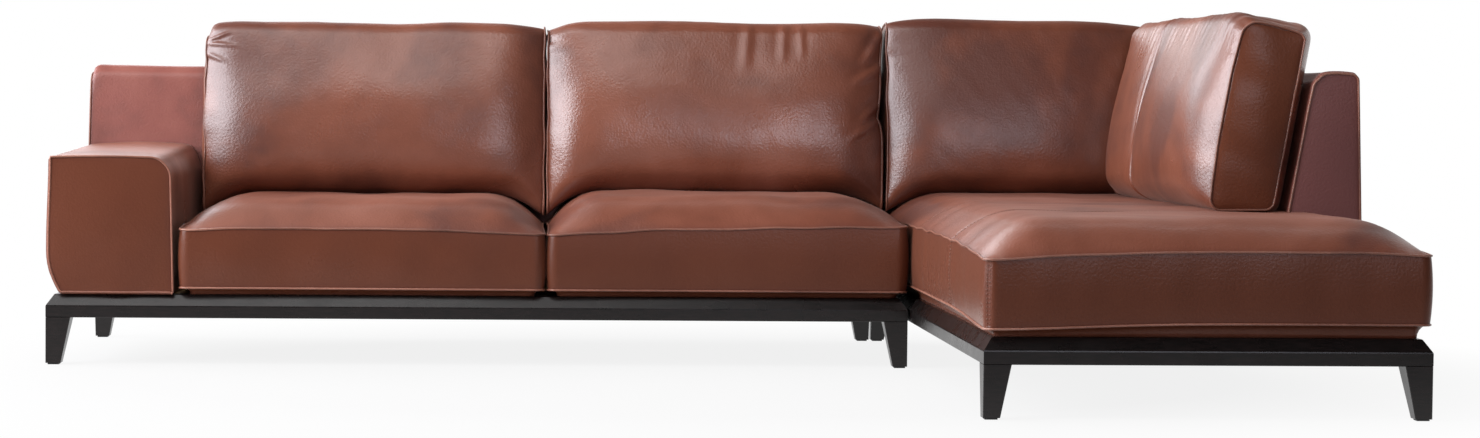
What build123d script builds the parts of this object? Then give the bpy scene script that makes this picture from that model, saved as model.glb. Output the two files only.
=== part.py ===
"""A leather corner sofa on dark timber plinths.

Two units stand side by side: a two-seat unit with one arm, and a longer chaise unit
whose back turns the corner and runs forward as a side back. Four loose cushions lean on
the backs. Sizes are in millimetres, +Z is up, the front faces -Y, and the origin is on
the floor under the middle of the whole footprint.
"""
import os
from math import asin, cos, degrees, floor, radians, sin, tan

from build123d import *

os.makedirs("parts", exist_ok=True)

# Overall sizes
SOFA_WIDTH = 2205.0
SOFA_DEPTH = 940.0
CHAISE_WIDTH = 995.0
CHAISE_LENGTH = 2225.0
RETURN_LENGTH = 1640.0
UNIT_GAP = 6.0

# Clearances
FIT = 0.4
HOLE_FIT = 0.15
BOARD_JOINT = 0.3

# Legs, glides and the bolts that hold the legs to the plinth
LEG_HEIGHT = 116.0
LEG_TOP = 62.0
LEG_FOOT = 38.0
GLIDE_HEIGHT = 4.0
GLIDE_WIDTH = 28.0
BOLT_DIAMETER = 8.0
BOLT_IN_LEG = 30.0
BOLT_IN_RAIL = 36.0
BOLT_ALONG = 44.0
BOLT_INWARD = 24.0

# Plinth rails with a bevelled top edge, and the bearers between them
RAIL_WIDTH = 70.0
RAIL_FACE = 30.0
BEVEL_RISE = 29.0
BEVEL_INSET = 20.0
ARRIS = 1.5
BEARER_WIDTH = 120.0
BEARER_HEIGHT = 45.0

# Dust cloth under each plinth
DUST_CLOTH = 1.2
DUST_MARGIN = 42.0

# Connectors between the two units
CONNECTOR_END = 190.0
CONNECTOR_WIDTH = 50.0
CONNECTOR_SEAT = 36.0
TONGUE_WIDTH = 18.0
PLATE = 4.0
PIN_DIAMETER = 10.0
PIN_REACH = 20.0
PIN_RISE = 10.0
PIN_FIT = 0.4
SCREW_DIAMETER = 4.5
SCREW_HEAD = 9.0
SCREW_HEAD_HEIGHT = 3.0
SCREW_IN_RAIL = 22.0
SCREW_BESIDE_PIN = 15.0

# Seats: timber frame, webbing, foam slab and a leather cover with a rolled crown
SEAT_TUCK = 18.0
SEAT_TUCK_INSET = 22.0
SEAT_BOXING = 153.0
SEAT_CROWN = 90.0
SEAT_ROLL = 165.0
SEAT_CORNER = 24.0
SEAT_DRAW = 6.0
SEAT_GAP = 4.0
SEAT_WALL = 36.0
FRAME_HEIGHT = 70.0
FRAME_BOARD = 25.0
STRAP_WIDTH = 60.0
STRAP_PITCH = 125.0
STRAP_THICKNESS = 2.0
SLAB_ABOVE_WELT = 8.0
SLAB_EDGE = 20.0

# Arm
ARM_WIDTH = 318.0
ARM_SETBACK = 6.0
ARM_TOP = 527.0
ARM_SWELL = 28.0
ARM_INNER_RADIUS = 52.0
ARM_OUTER_RADIUS = 9.0
ARM_LEAN = 8.0
ARM_BULGE = 5.0
ARM_SEAT_GAP = 14.0
ARM_WALL = 34.0
ARM_BELLY_RISE = 110.0
ARM_BELLY_INSET = 34.0
ARM_RUNS = 4
BELLY_RISE = 62.0
BELLY_INSET = 22.0

# Backs, with a raked inner face above the seat
BACK_DEPTH = 180.0
BACK_TOP = 769.0
BACK_RAKE = 10.0
BACK_OUTER_LEAN = 2.0
BACK_INNER_RADIUS = 30.0
BACK_OUTER_RADIUS = 14.0
BACK_WALL = 24.0
BOARD = 18.0
BATTEN = 45.0
RIB_PITCH = 520.0

# Loose back cushions
CUSHION_HEIGHT = 438.0
CUSHION_DEPTH = 188.0
CUSHION_REAR = 36.0
CUSHION_REAR_INSET = 40.0
CUSHION_CROWN = 46.0
CUSHION_ROLL = 130.0
CUSHION_CORNER = 26.0
CUSHION_DRAW = 7.0
CUSHION_PUFF = 9.0
CUSHION_GAP = 6.0
CUSHION_WALL = 36.0
CUSHION_BACK_WALL = 14.0
CORNER_CUSHION_END = 250.0
SIDE_CUSHION_SETBACK = 12.0

# Shape of every crown: layers, how far they reach into the roll, and how fast they flatten
CROWN_STEPS = 3
CROWN_REACH = 0.88
CROWN_POWER = 2.2

# Straight runs along each side that its seams draw in
DRAW_RUNS = 3

# Places worked out from the sizes above
X_LEFT = -(SOFA_WIDTH + UNIT_GAP + CHAISE_WIDTH) / 2
X_SPLIT = X_LEFT + SOFA_WIDTH
X_CHAISE = X_SPLIT + UNIT_GAP
X_RIGHT = X_CHAISE + CHAISE_WIDTH
Y_REAR = CHAISE_LENGTH / 2
Y_SOFA = Y_REAR - SOFA_DEPTH
Y_CHAISE = Y_REAR - CHAISE_LENGTH
Y_RETURN = Y_REAR - RETURN_LENGTH
Z_RAIL = GLIDE_HEIGHT + LEG_HEIGHT
Z_EDGE = Z_RAIL + RAIL_FACE
Z_DECK = Z_EDGE + BEVEL_RISE
Z_LOW_WELT = Z_DECK + SEAT_TUCK
Z_TOP_WELT = Z_LOW_WELT + SEAT_BOXING
Z_SEAT = Z_TOP_WELT + SEAT_CROWN
Z_WEBBING = Z_DECK + FRAME_HEIGHT
Z_SLAB = Z_WEBBING + 2 * (STRAP_THICKNESS + BOARD_JOINT)
Z_SLAB_TOP = Z_TOP_WELT + SLAB_ABOVE_WELT
RAKE_SIN = sin(radians(BACK_RAKE))
RAKE_COS = cos(radians(BACK_RAKE))
RAKE_TAN = tan(radians(BACK_RAKE))
SEAT_REAR = Y_REAR - BACK_DEPTH - FIT
SEAT_LEFT = X_LEFT + ARM_WIDTH + ARM_SEAT_GAP
SEAT_WIDTH = (X_SPLIT - SEAT_LEFT - SEAT_GAP) / 2
SEAT_SPLIT = SEAT_LEFT + SEAT_WIDTH
NOTCH_X = X_RIGHT - BACK_DEPTH - FIT
NOTCH_Y = Y_RETURN - FIT
CONNECTOR_PLACES = [Y_SOFA + CONNECTOR_END, Y_REAR - CONNECTOR_END]


def finish(piece, label):
    """Label one finished piece and write it under its own name."""
    piece.part.label = label
    export_step(piece.part, f"parts/{label}.step")


def rectangle(x0, x1, y0, y1):
    """Return the corners of a rectangle, counter-clockwise from the front left."""
    return [Vector(x0, y0), Vector(x1, y0), Vector(x1, y1), Vector(x0, y1)]


def directions(corners):
    """Return the unit direction of each side that starts at a corner."""
    following = corners[1:] + corners[:1]
    return [(end - start).normalized() for start, end in zip(corners, following)]


def inset_corners(corners, amounts):
    """Return the corners after every side has moved inwards by its own amount."""
    sides = directions(corners)
    moved = []
    for i, corner in enumerate(corners):
        before, after = sides[i - 1], sides[i]
        shift = after * amounts[i - 1] - before * amounts[i]
        moved.append(corner + shift * (1 / before.cross(after).Z))
    return moved


def inset_evenly(corners, amount):
    """Return the corners after all sides have moved inwards by the same amount."""
    return inset_corners(corners, [amount] * len(corners))


def polygon_face(plane, corners):
    """Return a straight-sided face on a plane."""
    with BuildSketch(plane) as face:
        with BuildLine():
            Polyline(*corners, close=True)
        make_face()
    return face.sketch


def sewn_points(corners, radius, draws):
    """Return an outline whose seams draw its sides in, in short runs, with eased outer corners."""
    sides = directions(corners)
    half_turns = [radians(sides[i - 1].get_angle(side)) / 2 for i, side in enumerate(sides)]
    outer = [sides[i - 1].cross(side).Z > 0 for i, side in enumerate(sides)]
    reaches = [radius * tan(turn) if out else 0 for turn, out in zip(half_turns, outer)]
    points = []
    for i, draw in enumerate(draws):
        j = (i + 1) % len(corners)
        start = corners[i] + sides[i] * reaches[i]
        run = corners[j] - sides[i] * reaches[j] - start
        inward = Vector(-sides[i].Y, sides[i].X)
        pieces = DRAW_RUNS if draw else 1
        for share in [piece / pieces for piece in range(pieces)]:
            points.append(start + run * share + inward * (4 * draw * share * (1 - share)))
        if outer[j]:
            crest = (sides[j] - sides[i]).normalized() * (radius / cos(half_turns[j]) - radius)
            points += [start + run, corners[j] + crest]
    return points


def sewn_face(plane, corners, radius, draws):
    """Return the face inside a sewn outline on a plane."""
    return polygon_face(plane, sewn_points(corners, radius, draws))


def disc_faces(plane, places, diameter):
    """Return one round face at each place on a plane."""
    with BuildSketch(plane) as face:
        with Locations(*places):
            Circle(diameter / 2)
    return face.sketch


def crown_faces(plane, corners, rolls, crown, radius, draws):
    """Return the layers of a crown that rises from its seam and rolls over to flat."""
    layers = []
    full = 1 - (1 - CROWN_REACH) ** CROWN_POWER
    for step in range(CROWN_STEPS + 1):
        share = CROWN_REACH * step / CROWN_STEPS
        rise = crown * (1 - (1 - share) ** CROWN_POWER) / full
        layer = inset_corners(corners, [roll * share for roll in rolls])
        rounding = radius + max(rolls) * share / 3
        layers.append(sewn_face(plane.offset(rise), layer, rounding, draws))
    return layers


def corner_square(corner, inward, width):
    """Return a square that reaches inward from an outer corner."""
    far = corner + inward * width
    return [corner, Vector(far.X, corner.Y), far, Vector(corner.X, far.Y)]


def connector_screws(x):
    """Return the screw places of both connector plates, on a line along Y."""
    return [Vector(x, place + SCREW_BESIDE_PIN) for place in CONNECTOR_PLACES]


def rails(unit, outer, screw_places, pin_places):
    """Make four mitred rails with bevelled tops, and return where the leg bolts stand in them."""
    inner = inset_evenly(outer, RAIL_WIDTH)
    bevelled = inset_evenly(outer, BEVEL_INSET)
    underside = Plane.XY.offset(Z_RAIL)
    bolts = []
    for i, name in enumerate(["front", "right", "rear", "left"]):
        j = (i + 1) % 4
        along = directions(outer)[i]
        inward = Vector(-along.Y, along.X)
        foot = [outer[i], outer[j], inner[j], inner[i]]
        head = [bevelled[i], bevelled[j], inner[j], inner[i]]
        with BuildPart() as rail:
            extrude(polygon_face(underside, foot), amount=RAIL_FACE)
            edge_face = polygon_face(Plane.XY.offset(Z_EDGE), foot)
            loft([edge_face, polygon_face(Plane.XY.offset(Z_DECK), head)], ruled=True)
            lengthwise = rail.edges().filter_by(Axis.X if along.X else Axis.Y)
            chamfer(lengthwise.sort_by(Axis(outer[i], inward))[:3], ARRIS)
            if along.X:
                near = outer[i] + along * BOLT_ALONG + inward * BOLT_INWARD
                far = outer[j] - along * BOLT_ALONG + inward * BOLT_INWARD
                bolts += [near, far]
                holes = disc_faces(underside, [near, far], BOLT_DIAMETER + 2 * HOLE_FIT)
                extrude(holes, amount=BOLT_IN_RAIL + FIT, mode=Mode.SUBTRACT)
            if name in screw_places:
                pilots = disc_faces(underside, screw_places[name], SCREW_DIAMETER + 2 * HOLE_FIT)
                extrude(pilots, amount=SCREW_IN_RAIL + FIT, mode=Mode.SUBTRACT)
            if name in pin_places:
                pockets = disc_faces(underside, pin_places[name], PIN_DIAMETER + 2 * PIN_FIT)
                extrude(pockets, amount=PIN_RISE + FIT, mode=Mode.SUBTRACT)
        finish(rail, f"{unit}_{name}_rail")
    return bolts


def legs(unit, outer, bolts):
    """Make the legs, tapered on their two inner sides, with their bolts and glides."""
    sides = directions(outer)
    top = Plane.XY.offset(Z_RAIL)
    taper = [(0, GLIDE_HEIGHT), (LEG_FOOT, GLIDE_HEIGHT), (LEG_TOP, Z_RAIL), (0, Z_RAIL)]
    glides = []
    for i, name in enumerate(["front_left", "front_right", "rear_right", "rear_left"]):
        inward = sides[i] - sides[i - 1]
        glides.append(outer[i] + inward * (LEG_FOOT / 2))
        near_bolts = [bolt for bolt in bolts if (bolt - outer[i]).length < LEG_TOP]
        facing = Plane(origin=outer[i], x_dir=(inward.X, 0, 0), z_dir=(0, -inward.X, 0))
        sideways = Plane(origin=outer[i], x_dir=(0, inward.Y, 0), z_dir=(inward.Y, 0, 0))
        with BuildPart() as leg:
            extrude(polygon_face(facing, taper), amount=LEG_TOP, both=True)
            extrude(polygon_face(sideways, taper), amount=LEG_TOP, both=True, mode=Mode.INTERSECT)
            level = leg.edges().filter_by(Plane.XY)
            chamfer([edge for edge in leg.edges() if edge not in level], ARRIS)
            bolt_holes = disc_faces(top, near_bolts, BOLT_DIAMETER + 2 * HOLE_FIT)
            extrude(bolt_holes, amount=-(BOLT_IN_LEG + FIT), mode=Mode.SUBTRACT)
        finish(leg, f"{unit}_leg_{name}")

    with BuildPart() as leg_bolts:
        shanks = disc_faces(top.offset(-BOLT_IN_LEG), bolts, BOLT_DIAMETER)
        extrude(shanks, amount=BOLT_IN_LEG + BOLT_IN_RAIL)
    finish(leg_bolts, f"{unit}_leg_bolts")

    with BuildPart() as leg_glides:
        with BuildSketch():
            with Locations(*glides):
                Rectangle(GLIDE_WIDTH, GLIDE_WIDTH)
        extrude(amount=GLIDE_HEIGHT)
    finish(leg_glides, f"{unit}_leg_glides")


def dust_cloth(unit, outer):
    """Make the cloth that closes the plinth from below, cut out round the legs."""
    sides = directions(outer)
    underside = Plane.XY.offset(Z_RAIL)
    with BuildPart() as cloth:
        extrude(polygon_face(underside, inset_evenly(outer, DUST_MARGIN)), amount=-DUST_CLOTH)
        for i, corner in enumerate(outer):
            cut_out = corner_square(corner, sides[i] - sides[i - 1], LEG_TOP + FIT)
            extrude(polygon_face(underside, cut_out), amount=-DUST_CLOTH, mode=Mode.SUBTRACT)
    finish(cloth, f"{unit}_dust_cloth")


def bearers(unit, boxes):
    """Make the bearers that carry the seats between the rails of one plinth."""
    with BuildPart() as beams:
        for corners in boxes:
            extrude(polygon_face(Plane.XY.offset(Z_DECK), corners), amount=-BEARER_HEIGHT)
    finish(beams, f"{unit}_bearers")


def seat(unit, corners, rolls, draws, fields):
    """Make one fixed seat: board frame, crossed webbing, foam slab and crowned leather cover."""
    frame_outside = inset_evenly(corners, SEAT_WALL + FIT)
    frame_inside = inset_evenly(corners, SEAT_WALL + FIT + FRAME_BOARD)
    sides = directions(corners)
    count = len(corners)

    with BuildPart() as frame:
        for i in range(count):
            j = (i + 1) % count
            gap = sides[i] * (BOARD_JOINT / 2)
            outside = [frame_outside[i] + gap, frame_outside[j] - gap]
            board = outside + [frame_inside[j] - gap, frame_inside[i] + gap]
            extrude(polygon_face(Plane.XY.offset(Z_DECK), board), amount=FRAME_HEIGHT)
        for x0, x1, y0, _ in fields[1:]:
            inner_x0 = x0 + FRAME_BOARD + BOARD_JOINT
            inner_x1 = x1 - FRAME_BOARD - BOARD_JOINT
            divider = rectangle(inner_x0, inner_x1, y0 - FRAME_BOARD, y0)
            extrude(polygon_face(Plane.XY.offset(Z_DECK), divider), amount=FRAME_HEIGHT)
    finish(frame, f"{unit}_frame")

    with BuildPart() as webbing:
        for x0, x1, y0, y1 in fields:
            columns = floor((x1 - x0) / STRAP_PITCH)
            rows = floor((y1 - y0) / STRAP_PITCH)
            for column in range(columns):
                x = x0 + (x1 - x0) * (column + 0.5) / columns
                strap = rectangle(x - STRAP_WIDTH / 2, x + STRAP_WIDTH / 2, y0 + FIT, y1 - FIT)
                extrude(polygon_face(Plane.XY.offset(Z_WEBBING), strap), amount=STRAP_THICKNESS)
            for row in range(rows):
                y = y0 + (y1 - y0) * (row + 0.5) / rows
                strap = rectangle(x0 + FIT, x1 - FIT, y - STRAP_WIDTH / 2, y + STRAP_WIDTH / 2)
                upper = Plane.XY.offset(Z_WEBBING + STRAP_THICKNESS + BOARD_JOINT)
                extrude(polygon_face(upper, strap), amount=STRAP_THICKNESS)
    finish(webbing, f"{unit}_webbing")

    with BuildPart() as foam:
        extrude(polygon_face(Plane.XY.offset(Z_SLAB), frame_outside), amount=Z_SLAB_TOP - Z_SLAB)
        chamfer(foam.faces().sort_by(Axis.Z)[-1].edges(), SLAB_EDGE)
    finish(foam, f"{unit}_foam")

    with BuildPart() as cover:
        low_welt = sewn_face(Plane.XY.offset(Z_LOW_WELT), corners, SEAT_CORNER, draws)
        tuck = inset_evenly(corners, SEAT_TUCK_INSET)
        loft([sewn_face(Plane.XY.offset(Z_DECK), tuck, SEAT_CORNER, draws), low_welt], ruled=True)
        extrude(low_welt, amount=SEAT_BOXING)
        crown = crown_faces(Plane.XY.offset(Z_TOP_WELT), corners, rolls, SEAT_CROWN, SEAT_CORNER, draws)
        loft(crown, ruled=True)
        cavity = polygon_face(Plane.XY.offset(Z_DECK), inset_evenly(corners, SEAT_WALL))
        extrude(cavity, amount=Z_SLAB_TOP - Z_DECK + FIT, mode=Mode.SUBTRACT)
    finish(cover, f"{unit}_cover")


def rear_plane(x):
    """Return the plane across the rear back at x: local x runs forward, its normal runs left."""
    return Plane(origin=(x, Y_REAR, 0), x_dir=(0, -1, 0), z_dir=(-1, 0, 0))


def return_plane(y):
    """Return the plane across the side back at y: local x runs inward, its normal runs back."""
    return Plane(origin=(X_RIGHT, y, 0), x_dir=(-1, 0, 0), z_dir=(0, 1, 0))


def back_section(plane):
    """Return the outer section of a back: tucked foot, leaning outside, raked inside."""
    lean = (BACK_TOP - Z_DECK - BELLY_RISE) * tan(radians(BACK_OUTER_LEAN))
    rake = (BACK_TOP - Z_SEAT) * RAKE_TAN
    with BuildSketch(plane) as section:
        with BuildLine():
            belly = TangentArc((0, Z_DECK + BELLY_RISE), (BELLY_INSET, Z_DECK), tangent=(0, -1))
            Polyline(
                belly @ 1,
                (BACK_DEPTH, Z_DECK),
                (BACK_DEPTH, Z_SEAT),
                (BACK_DEPTH - rake, BACK_TOP),
                (lean, BACK_TOP),
                belly @ 0,
            )
        make_face()
        fillet(section.vertices().sort_by_distance((lean, BACK_TOP))[0], BACK_OUTER_RADIUS)
        fillet(section.vertices().sort_by_distance((BACK_DEPTH - rake, BACK_TOP))[0], BACK_INNER_RADIUS)
    return section.sketch


def back_core(plane, wall):
    """Return the straight section inside a back, a wall's thickness in from its skin."""
    lean = (BACK_TOP - Z_DECK) * tan(radians(BACK_OUTER_LEAN))
    head = BACK_TOP - wall - BACK_INNER_RADIUS / 2
    rake = (head - Z_SEAT) * RAKE_TAN
    return polygon_face(
        plane,
        [
            (BELLY_INSET + wall, Z_DECK),
            (BACK_DEPTH - wall, Z_DECK),
            (BACK_DEPTH - wall, Z_SEAT),
            (BACK_DEPTH - wall - rake, head),
            (lean + wall, head),
        ],
    )


def back(name, start, length, lead, tail, mitre_keep):
    """Make one back from a start plane: hollow leather cover, and a frame of ribs and battens.

    The hollow stops short of the two ends by lead and tail. A back that turns the corner
    keeps one side of the mitre there.
    """
    hollow = length - lead - tail
    with BuildPart() as cover:
        extrude(back_section(start), amount=length)
        extrude(back_core(start.offset(lead), BACK_WALL), amount=hollow, mode=Mode.SUBTRACT)
        if mitre_keep:
            split(bisect_by=Plane(origin=(X_RIGHT, Y_REAR, 0), z_dir=(1, -1, 0)), keep=mitre_keep)
    finish(cover, f"{name}_cover")

    bays = floor(hollow / RIB_PITCH) + 1
    bay = (hollow - BOARD - 2 * FIT) / bays
    head = BACK_TOP - BACK_WALL - BACK_INNER_RADIUS / 2 - BATTEN - FIT
    foot_middle = (BELLY_INSET + BACK_DEPTH) / 2
    head_middle = foot_middle - (head - Z_SEAT) * RAKE_TAN / 2
    with BuildPart() as frame:
        for i in range(bays + 1):
            rib = start.offset(lead + FIT + i * bay)
            extrude(back_core(rib, BACK_WALL + FIT), amount=BOARD)
        for i in range(bays):
            near = start.offset(lead + FIT + i * bay + BOARD + BOARD_JOINT)
            for middle, level in ((foot_middle, Z_DECK), (head_middle, head)):
                batten = rectangle(middle - BOARD / 2, middle + BOARD / 2, level, level + BATTEN)
                extrude(polygon_face(near, batten), amount=bay - BOARD - 2 * BOARD_JOINT)
    finish(frame, f"{name}_frame")


def arc_points(centre, radius, first, last):
    """Return points on an arc between two angles, ends included."""
    step = (last - first) / ARM_RUNS
    angles = [radians(first + step * run) for run in range(ARM_RUNS + 1)]
    return [Vector(centre[0] + radius * cos(angle), centre[1] + radius * sin(angle)) for angle in angles]


def arm_face(y):
    """Return the front section of the arm at y, with spare height below its foot."""
    inner = ARM_WIDTH - ARM_LEAN
    low, high = Z_DECK + ARM_BELLY_RISE, ARM_TOP - ARM_OUTER_RADIUS
    belly = (ARM_BELLY_INSET**2 + ARM_BELLY_RISE**2) / (2 * ARM_BELLY_INSET)
    bulge = (ARM_BULGE**2 + (high - low) ** 2) / (2 * ARM_BULGE)
    corners = [(ARM_BELLY_INSET, Z_DECK - ARM_SWELL), (ARM_WIDTH, Z_DECK - ARM_SWELL), (ARM_WIDTH, Z_DECK)]
    shoulder = (inner - ARM_INNER_RADIUS, ARM_TOP - ARM_INNER_RADIUS)
    corners += arc_points(shoulder, ARM_INNER_RADIUS, 0, 90)
    corners += arc_points((ARM_BULGE + ARM_OUTER_RADIUS, high), ARM_OUTER_RADIUS, 90, 180)
    corners += arc_points((bulge, low), bulge, 180 - degrees(asin((high - low) / bulge)), 180)[1:]
    corners += arc_points((belly, low), belly, 180, 180 + degrees(asin(ARM_BELLY_RISE / belly)))[1:]
    return polygon_face(Plane(origin=(X_LEFT, y, 0), x_dir=(1, 0, 0), z_dir=(0, -1, 0)), corners)


def cushion(name, plane, corners):
    """Make one loose cushion: a crowned leather cover cut flat where it sits, and its foam core."""
    rolls = [CUSHION_ROLL] * 4
    draws = [0, CUSHION_DRAW, -CUSHION_PUFF, CUSHION_DRAW]
    above_seat = CUSHION_WALL - corners[0].Y
    core_corners = inset_corners(corners, [above_seat, CUSHION_WALL, CUSHION_WALL, CUSHION_WALL])
    core_depth = CUSHION_DEPTH - 2 * CUSHION_BACK_WALL
    rear_insets = [0, CUSHION_REAR_INSET, CUSHION_REAR_INSET, CUSHION_REAR_INSET]
    with BuildPart() as cover:
        rear = sewn_face(plane, inset_corners(corners, rear_insets), CUSHION_CORNER, draws)
        rear_seam = sewn_face(plane.offset(CUSHION_REAR), corners, CUSHION_CORNER, draws)
        loft([rear, rear_seam], ruled=True)
        extrude(rear_seam, amount=CUSHION_DEPTH - CUSHION_REAR)
        front = plane.offset(CUSHION_DEPTH)
        loft(crown_faces(front, corners, rolls, CUSHION_CROWN, CUSHION_CORNER, draws), ruled=True)
        split(bisect_by=Plane.XY.offset(Z_SEAT + FIT), keep=Keep.TOP)
        cavity = polygon_face(plane.offset(CUSHION_BACK_WALL), core_corners)
        extrude(cavity, amount=core_depth, mode=Mode.SUBTRACT)
    finish(cover, f"{name}_cover")
    with BuildPart() as core:
        slab = polygon_face(plane.offset(CUSHION_BACK_WALL + FIT), inset_evenly(core_corners, FIT))
        extrude(slab, amount=core_depth - 2 * FIT)
    finish(core, f"{name}_core")


def screws(unit, places, level):
    """Make the hexagon screws of one unit's connector plates, driven up from a level."""
    underside = Plane.XY.offset(level)
    with BuildPart() as fasteners:
        with BuildSketch(underside):
            with Locations(*places):
                RegularPolygon(SCREW_HEAD / 2, 6)
        extrude(amount=-SCREW_HEAD_HEIGHT)
        shanks = disc_faces(underside, places, SCREW_DIAMETER)
        extrude(shanks, amount=Z_RAIL + SCREW_IN_RAIL - level)
    finish(fasteners, f"{unit}_connector_screws")


# Plinths
sofa_outline = rectangle(X_LEFT, X_SPLIT, Y_SOFA, Y_REAR)
chaise_outline = rectangle(X_CHAISE, X_RIGHT, Y_CHAISE, Y_REAR)
hook_screws = connector_screws(X_SPLIT - CONNECTOR_SEAT / 2)
catch_screws = connector_screws(X_CHAISE + CONNECTOR_SEAT / 2)
pins = [Vector(X_CHAISE + PIN_REACH, place) for place in CONNECTOR_PLACES]
sofa_bolts = rails("sofa", sofa_outline, {"right": hook_screws}, {})
chaise_bolts = rails("chaise", chaise_outline, {"left": catch_screws}, {"left": pins})
for unit, outline, bolts in (("sofa", sofa_outline, sofa_bolts), ("chaise", chaise_outline, chaise_bolts)):
    legs(unit, outline, bolts)
    dust_cloth(unit, outline)

# Bearers under the arm and the seat joint, and under the chaise's seat panels
sofa_bearers = []
for middle in (SEAT_LEFT, SEAT_SPLIT + SEAT_GAP / 2):
    beam = rectangle(
        middle - BEARER_WIDTH / 2,
        middle + BEARER_WIDTH / 2,
        Y_SOFA + RAIL_WIDTH,
        Y_REAR - RAIL_WIDTH,
    )
    sofa_bearers.append(beam)
bearers("sofa", sofa_bearers)
chaise_bearers = []
for middle in (NOTCH_Y, (NOTCH_Y + SEAT_REAR) / 2, SEAT_REAR):
    beam = rectangle(
        X_CHAISE + RAIL_WIDTH,
        X_RIGHT - RAIL_WIDTH,
        middle - BEARER_WIDTH / 2,
        middle + BEARER_WIDTH / 2,
    )
    chaise_bearers.append(beam)
bearers("chaise", chaise_bearers)

# Hook plates under the sofa's right rail, each with a pin that stands in the chaise
hook_level = Z_RAIL - 2 * PLATE
catch_level = Z_RAIL - PLATE + FIT
with BuildPart() as hooks:
    for place in CONNECTOR_PLACES:
        half_root, half_tongue = CONNECTOR_WIDTH / 2, TONGUE_WIDTH / 2
        root = rectangle(X_SPLIT - CONNECTOR_SEAT, X_SPLIT, place - half_root, place + half_root)
        tongue_end = X_CHAISE + CONNECTOR_SEAT
        tongue = rectangle(X_SPLIT, tongue_end, place - half_tongue, place + half_tongue)
        extrude(polygon_face(Plane.XY.offset(hook_level), root), amount=2 * PLATE)
        extrude(polygon_face(Plane.XY.offset(hook_level), tongue), amount=PLATE)
    extrude(disc_faces(Plane.XY.offset(Z_RAIL - PLATE), pins, PIN_DIAMETER), amount=PLATE + PIN_RISE)
    hook_holes = disc_faces(Plane.XY.offset(hook_level), hook_screws, SCREW_DIAMETER + 2 * HOLE_FIT)
    extrude(hook_holes, amount=2 * PLATE, mode=Mode.SUBTRACT)
finish(hooks, "sofa_connector_hooks")
screws("sofa", hook_screws, hook_level)

# Catch plates under the chaise's left rail
with BuildPart() as catches:
    for place in CONNECTOR_PLACES:
        y0, y1 = place - CONNECTOR_WIDTH / 2, place + CONNECTOR_WIDTH / 2
        catch = rectangle(X_CHAISE, X_CHAISE + CONNECTOR_SEAT, y0, y1)
        extrude(polygon_face(Plane.XY.offset(catch_level), catch), amount=PLATE - FIT)
    openings = disc_faces(Plane.XY.offset(catch_level), pins, PIN_DIAMETER + 2 * PIN_FIT)
    extrude(openings, amount=PLATE - FIT, mode=Mode.SUBTRACT)
    catch_holes = disc_faces(Plane.XY.offset(catch_level), catch_screws, SCREW_DIAMETER + 2 * HOLE_FIT)
    extrude(catch_holes, amount=PLATE - FIT, mode=Mode.SUBTRACT)
finish(catches, "chaise_connector_catches")
screws("chaise", catch_screws, catch_level)

# Seats
inside_wall = SEAT_WALL + FIT
for name, x0 in (("left_seat", SEAT_LEFT), ("middle_seat", SEAT_SPLIT + SEAT_GAP)):
    x1 = x0 + SEAT_WIDTH
    seat(
        name,
        rectangle(x0, x1, Y_SOFA, SEAT_REAR),
        rolls=[SEAT_ROLL, SEAT_ROLL, 0, SEAT_ROLL],
        draws=[SEAT_DRAW, SEAT_DRAW, 0, SEAT_DRAW],
        fields=[(x0 + inside_wall, x1 - inside_wall, Y_SOFA + inside_wall, SEAT_REAR - inside_wall)],
    )
chaise_corners = [
    Vector(X_CHAISE, Y_CHAISE),
    Vector(X_RIGHT, Y_CHAISE),
    Vector(X_RIGHT, NOTCH_Y),
    Vector(NOTCH_X, NOTCH_Y),
    Vector(NOTCH_X, SEAT_REAR),
    Vector(X_CHAISE, SEAT_REAR),
]
field_left, field_joint = X_CHAISE + inside_wall, NOTCH_Y - inside_wall
seat(
    "chaise_seat",
    chaise_corners,
    rolls=[SEAT_ROLL, SEAT_ROLL, 0, 0, 0, SEAT_ROLL],
    draws=[SEAT_DRAW, SEAT_DRAW, 0, 0, 0, SEAT_DRAW],
    fields=[
        (field_left, X_RIGHT - inside_wall, Y_CHAISE + inside_wall, field_joint),
        (field_left, NOTCH_X - inside_wall, field_joint, SEAT_REAR - inside_wall),
    ],
)

# Arm: a leather cover whose top rises towards the back, over a boarded box
arm_front = Y_SOFA + ARM_SETBACK
with BuildPart() as arm_cover:
    rise = Vector(0, Y_REAR - arm_front, ARM_SWELL)
    extrude(arm_face(arm_front), amount=rise.length, dir=rise)
    split(bisect_by=Plane.XY.offset(Z_DECK), keep=Keep.TOP)
    behind = (ARM_TOP + 2 * ARM_SWELL - Z_SEAT) * RAKE_TAN
    back_space = [
        (-FIT, Z_DECK),
        (BACK_DEPTH + FIT, Z_DECK),
        (BACK_DEPTH + FIT, Z_SEAT),
        (BACK_DEPTH + FIT - behind, ARM_TOP + 2 * ARM_SWELL),
        (-FIT, ARM_TOP + 2 * ARM_SWELL),
    ]
    across_arm = rear_plane(X_LEFT + ARM_WIDTH + FIT)
    extrude(polygon_face(across_arm, back_space), amount=ARM_WIDTH + 2 * FIT, mode=Mode.SUBTRACT)
    arm_box = rectangle(
        X_LEFT + ARM_WALL + ARM_BELLY_INSET,
        X_LEFT + ARM_WIDTH - ARM_LEAN - ARM_WALL,
        arm_front + ARM_WALL,
        SEAT_REAR - ARM_WALL,
    )
    box_face = polygon_face(Plane.XY.offset(Z_DECK), arm_box)
    extrude(box_face, amount=ARM_TOP - ARM_WALL - Z_DECK, mode=Mode.SUBTRACT)
finish(arm_cover, "arm_cover")

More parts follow.
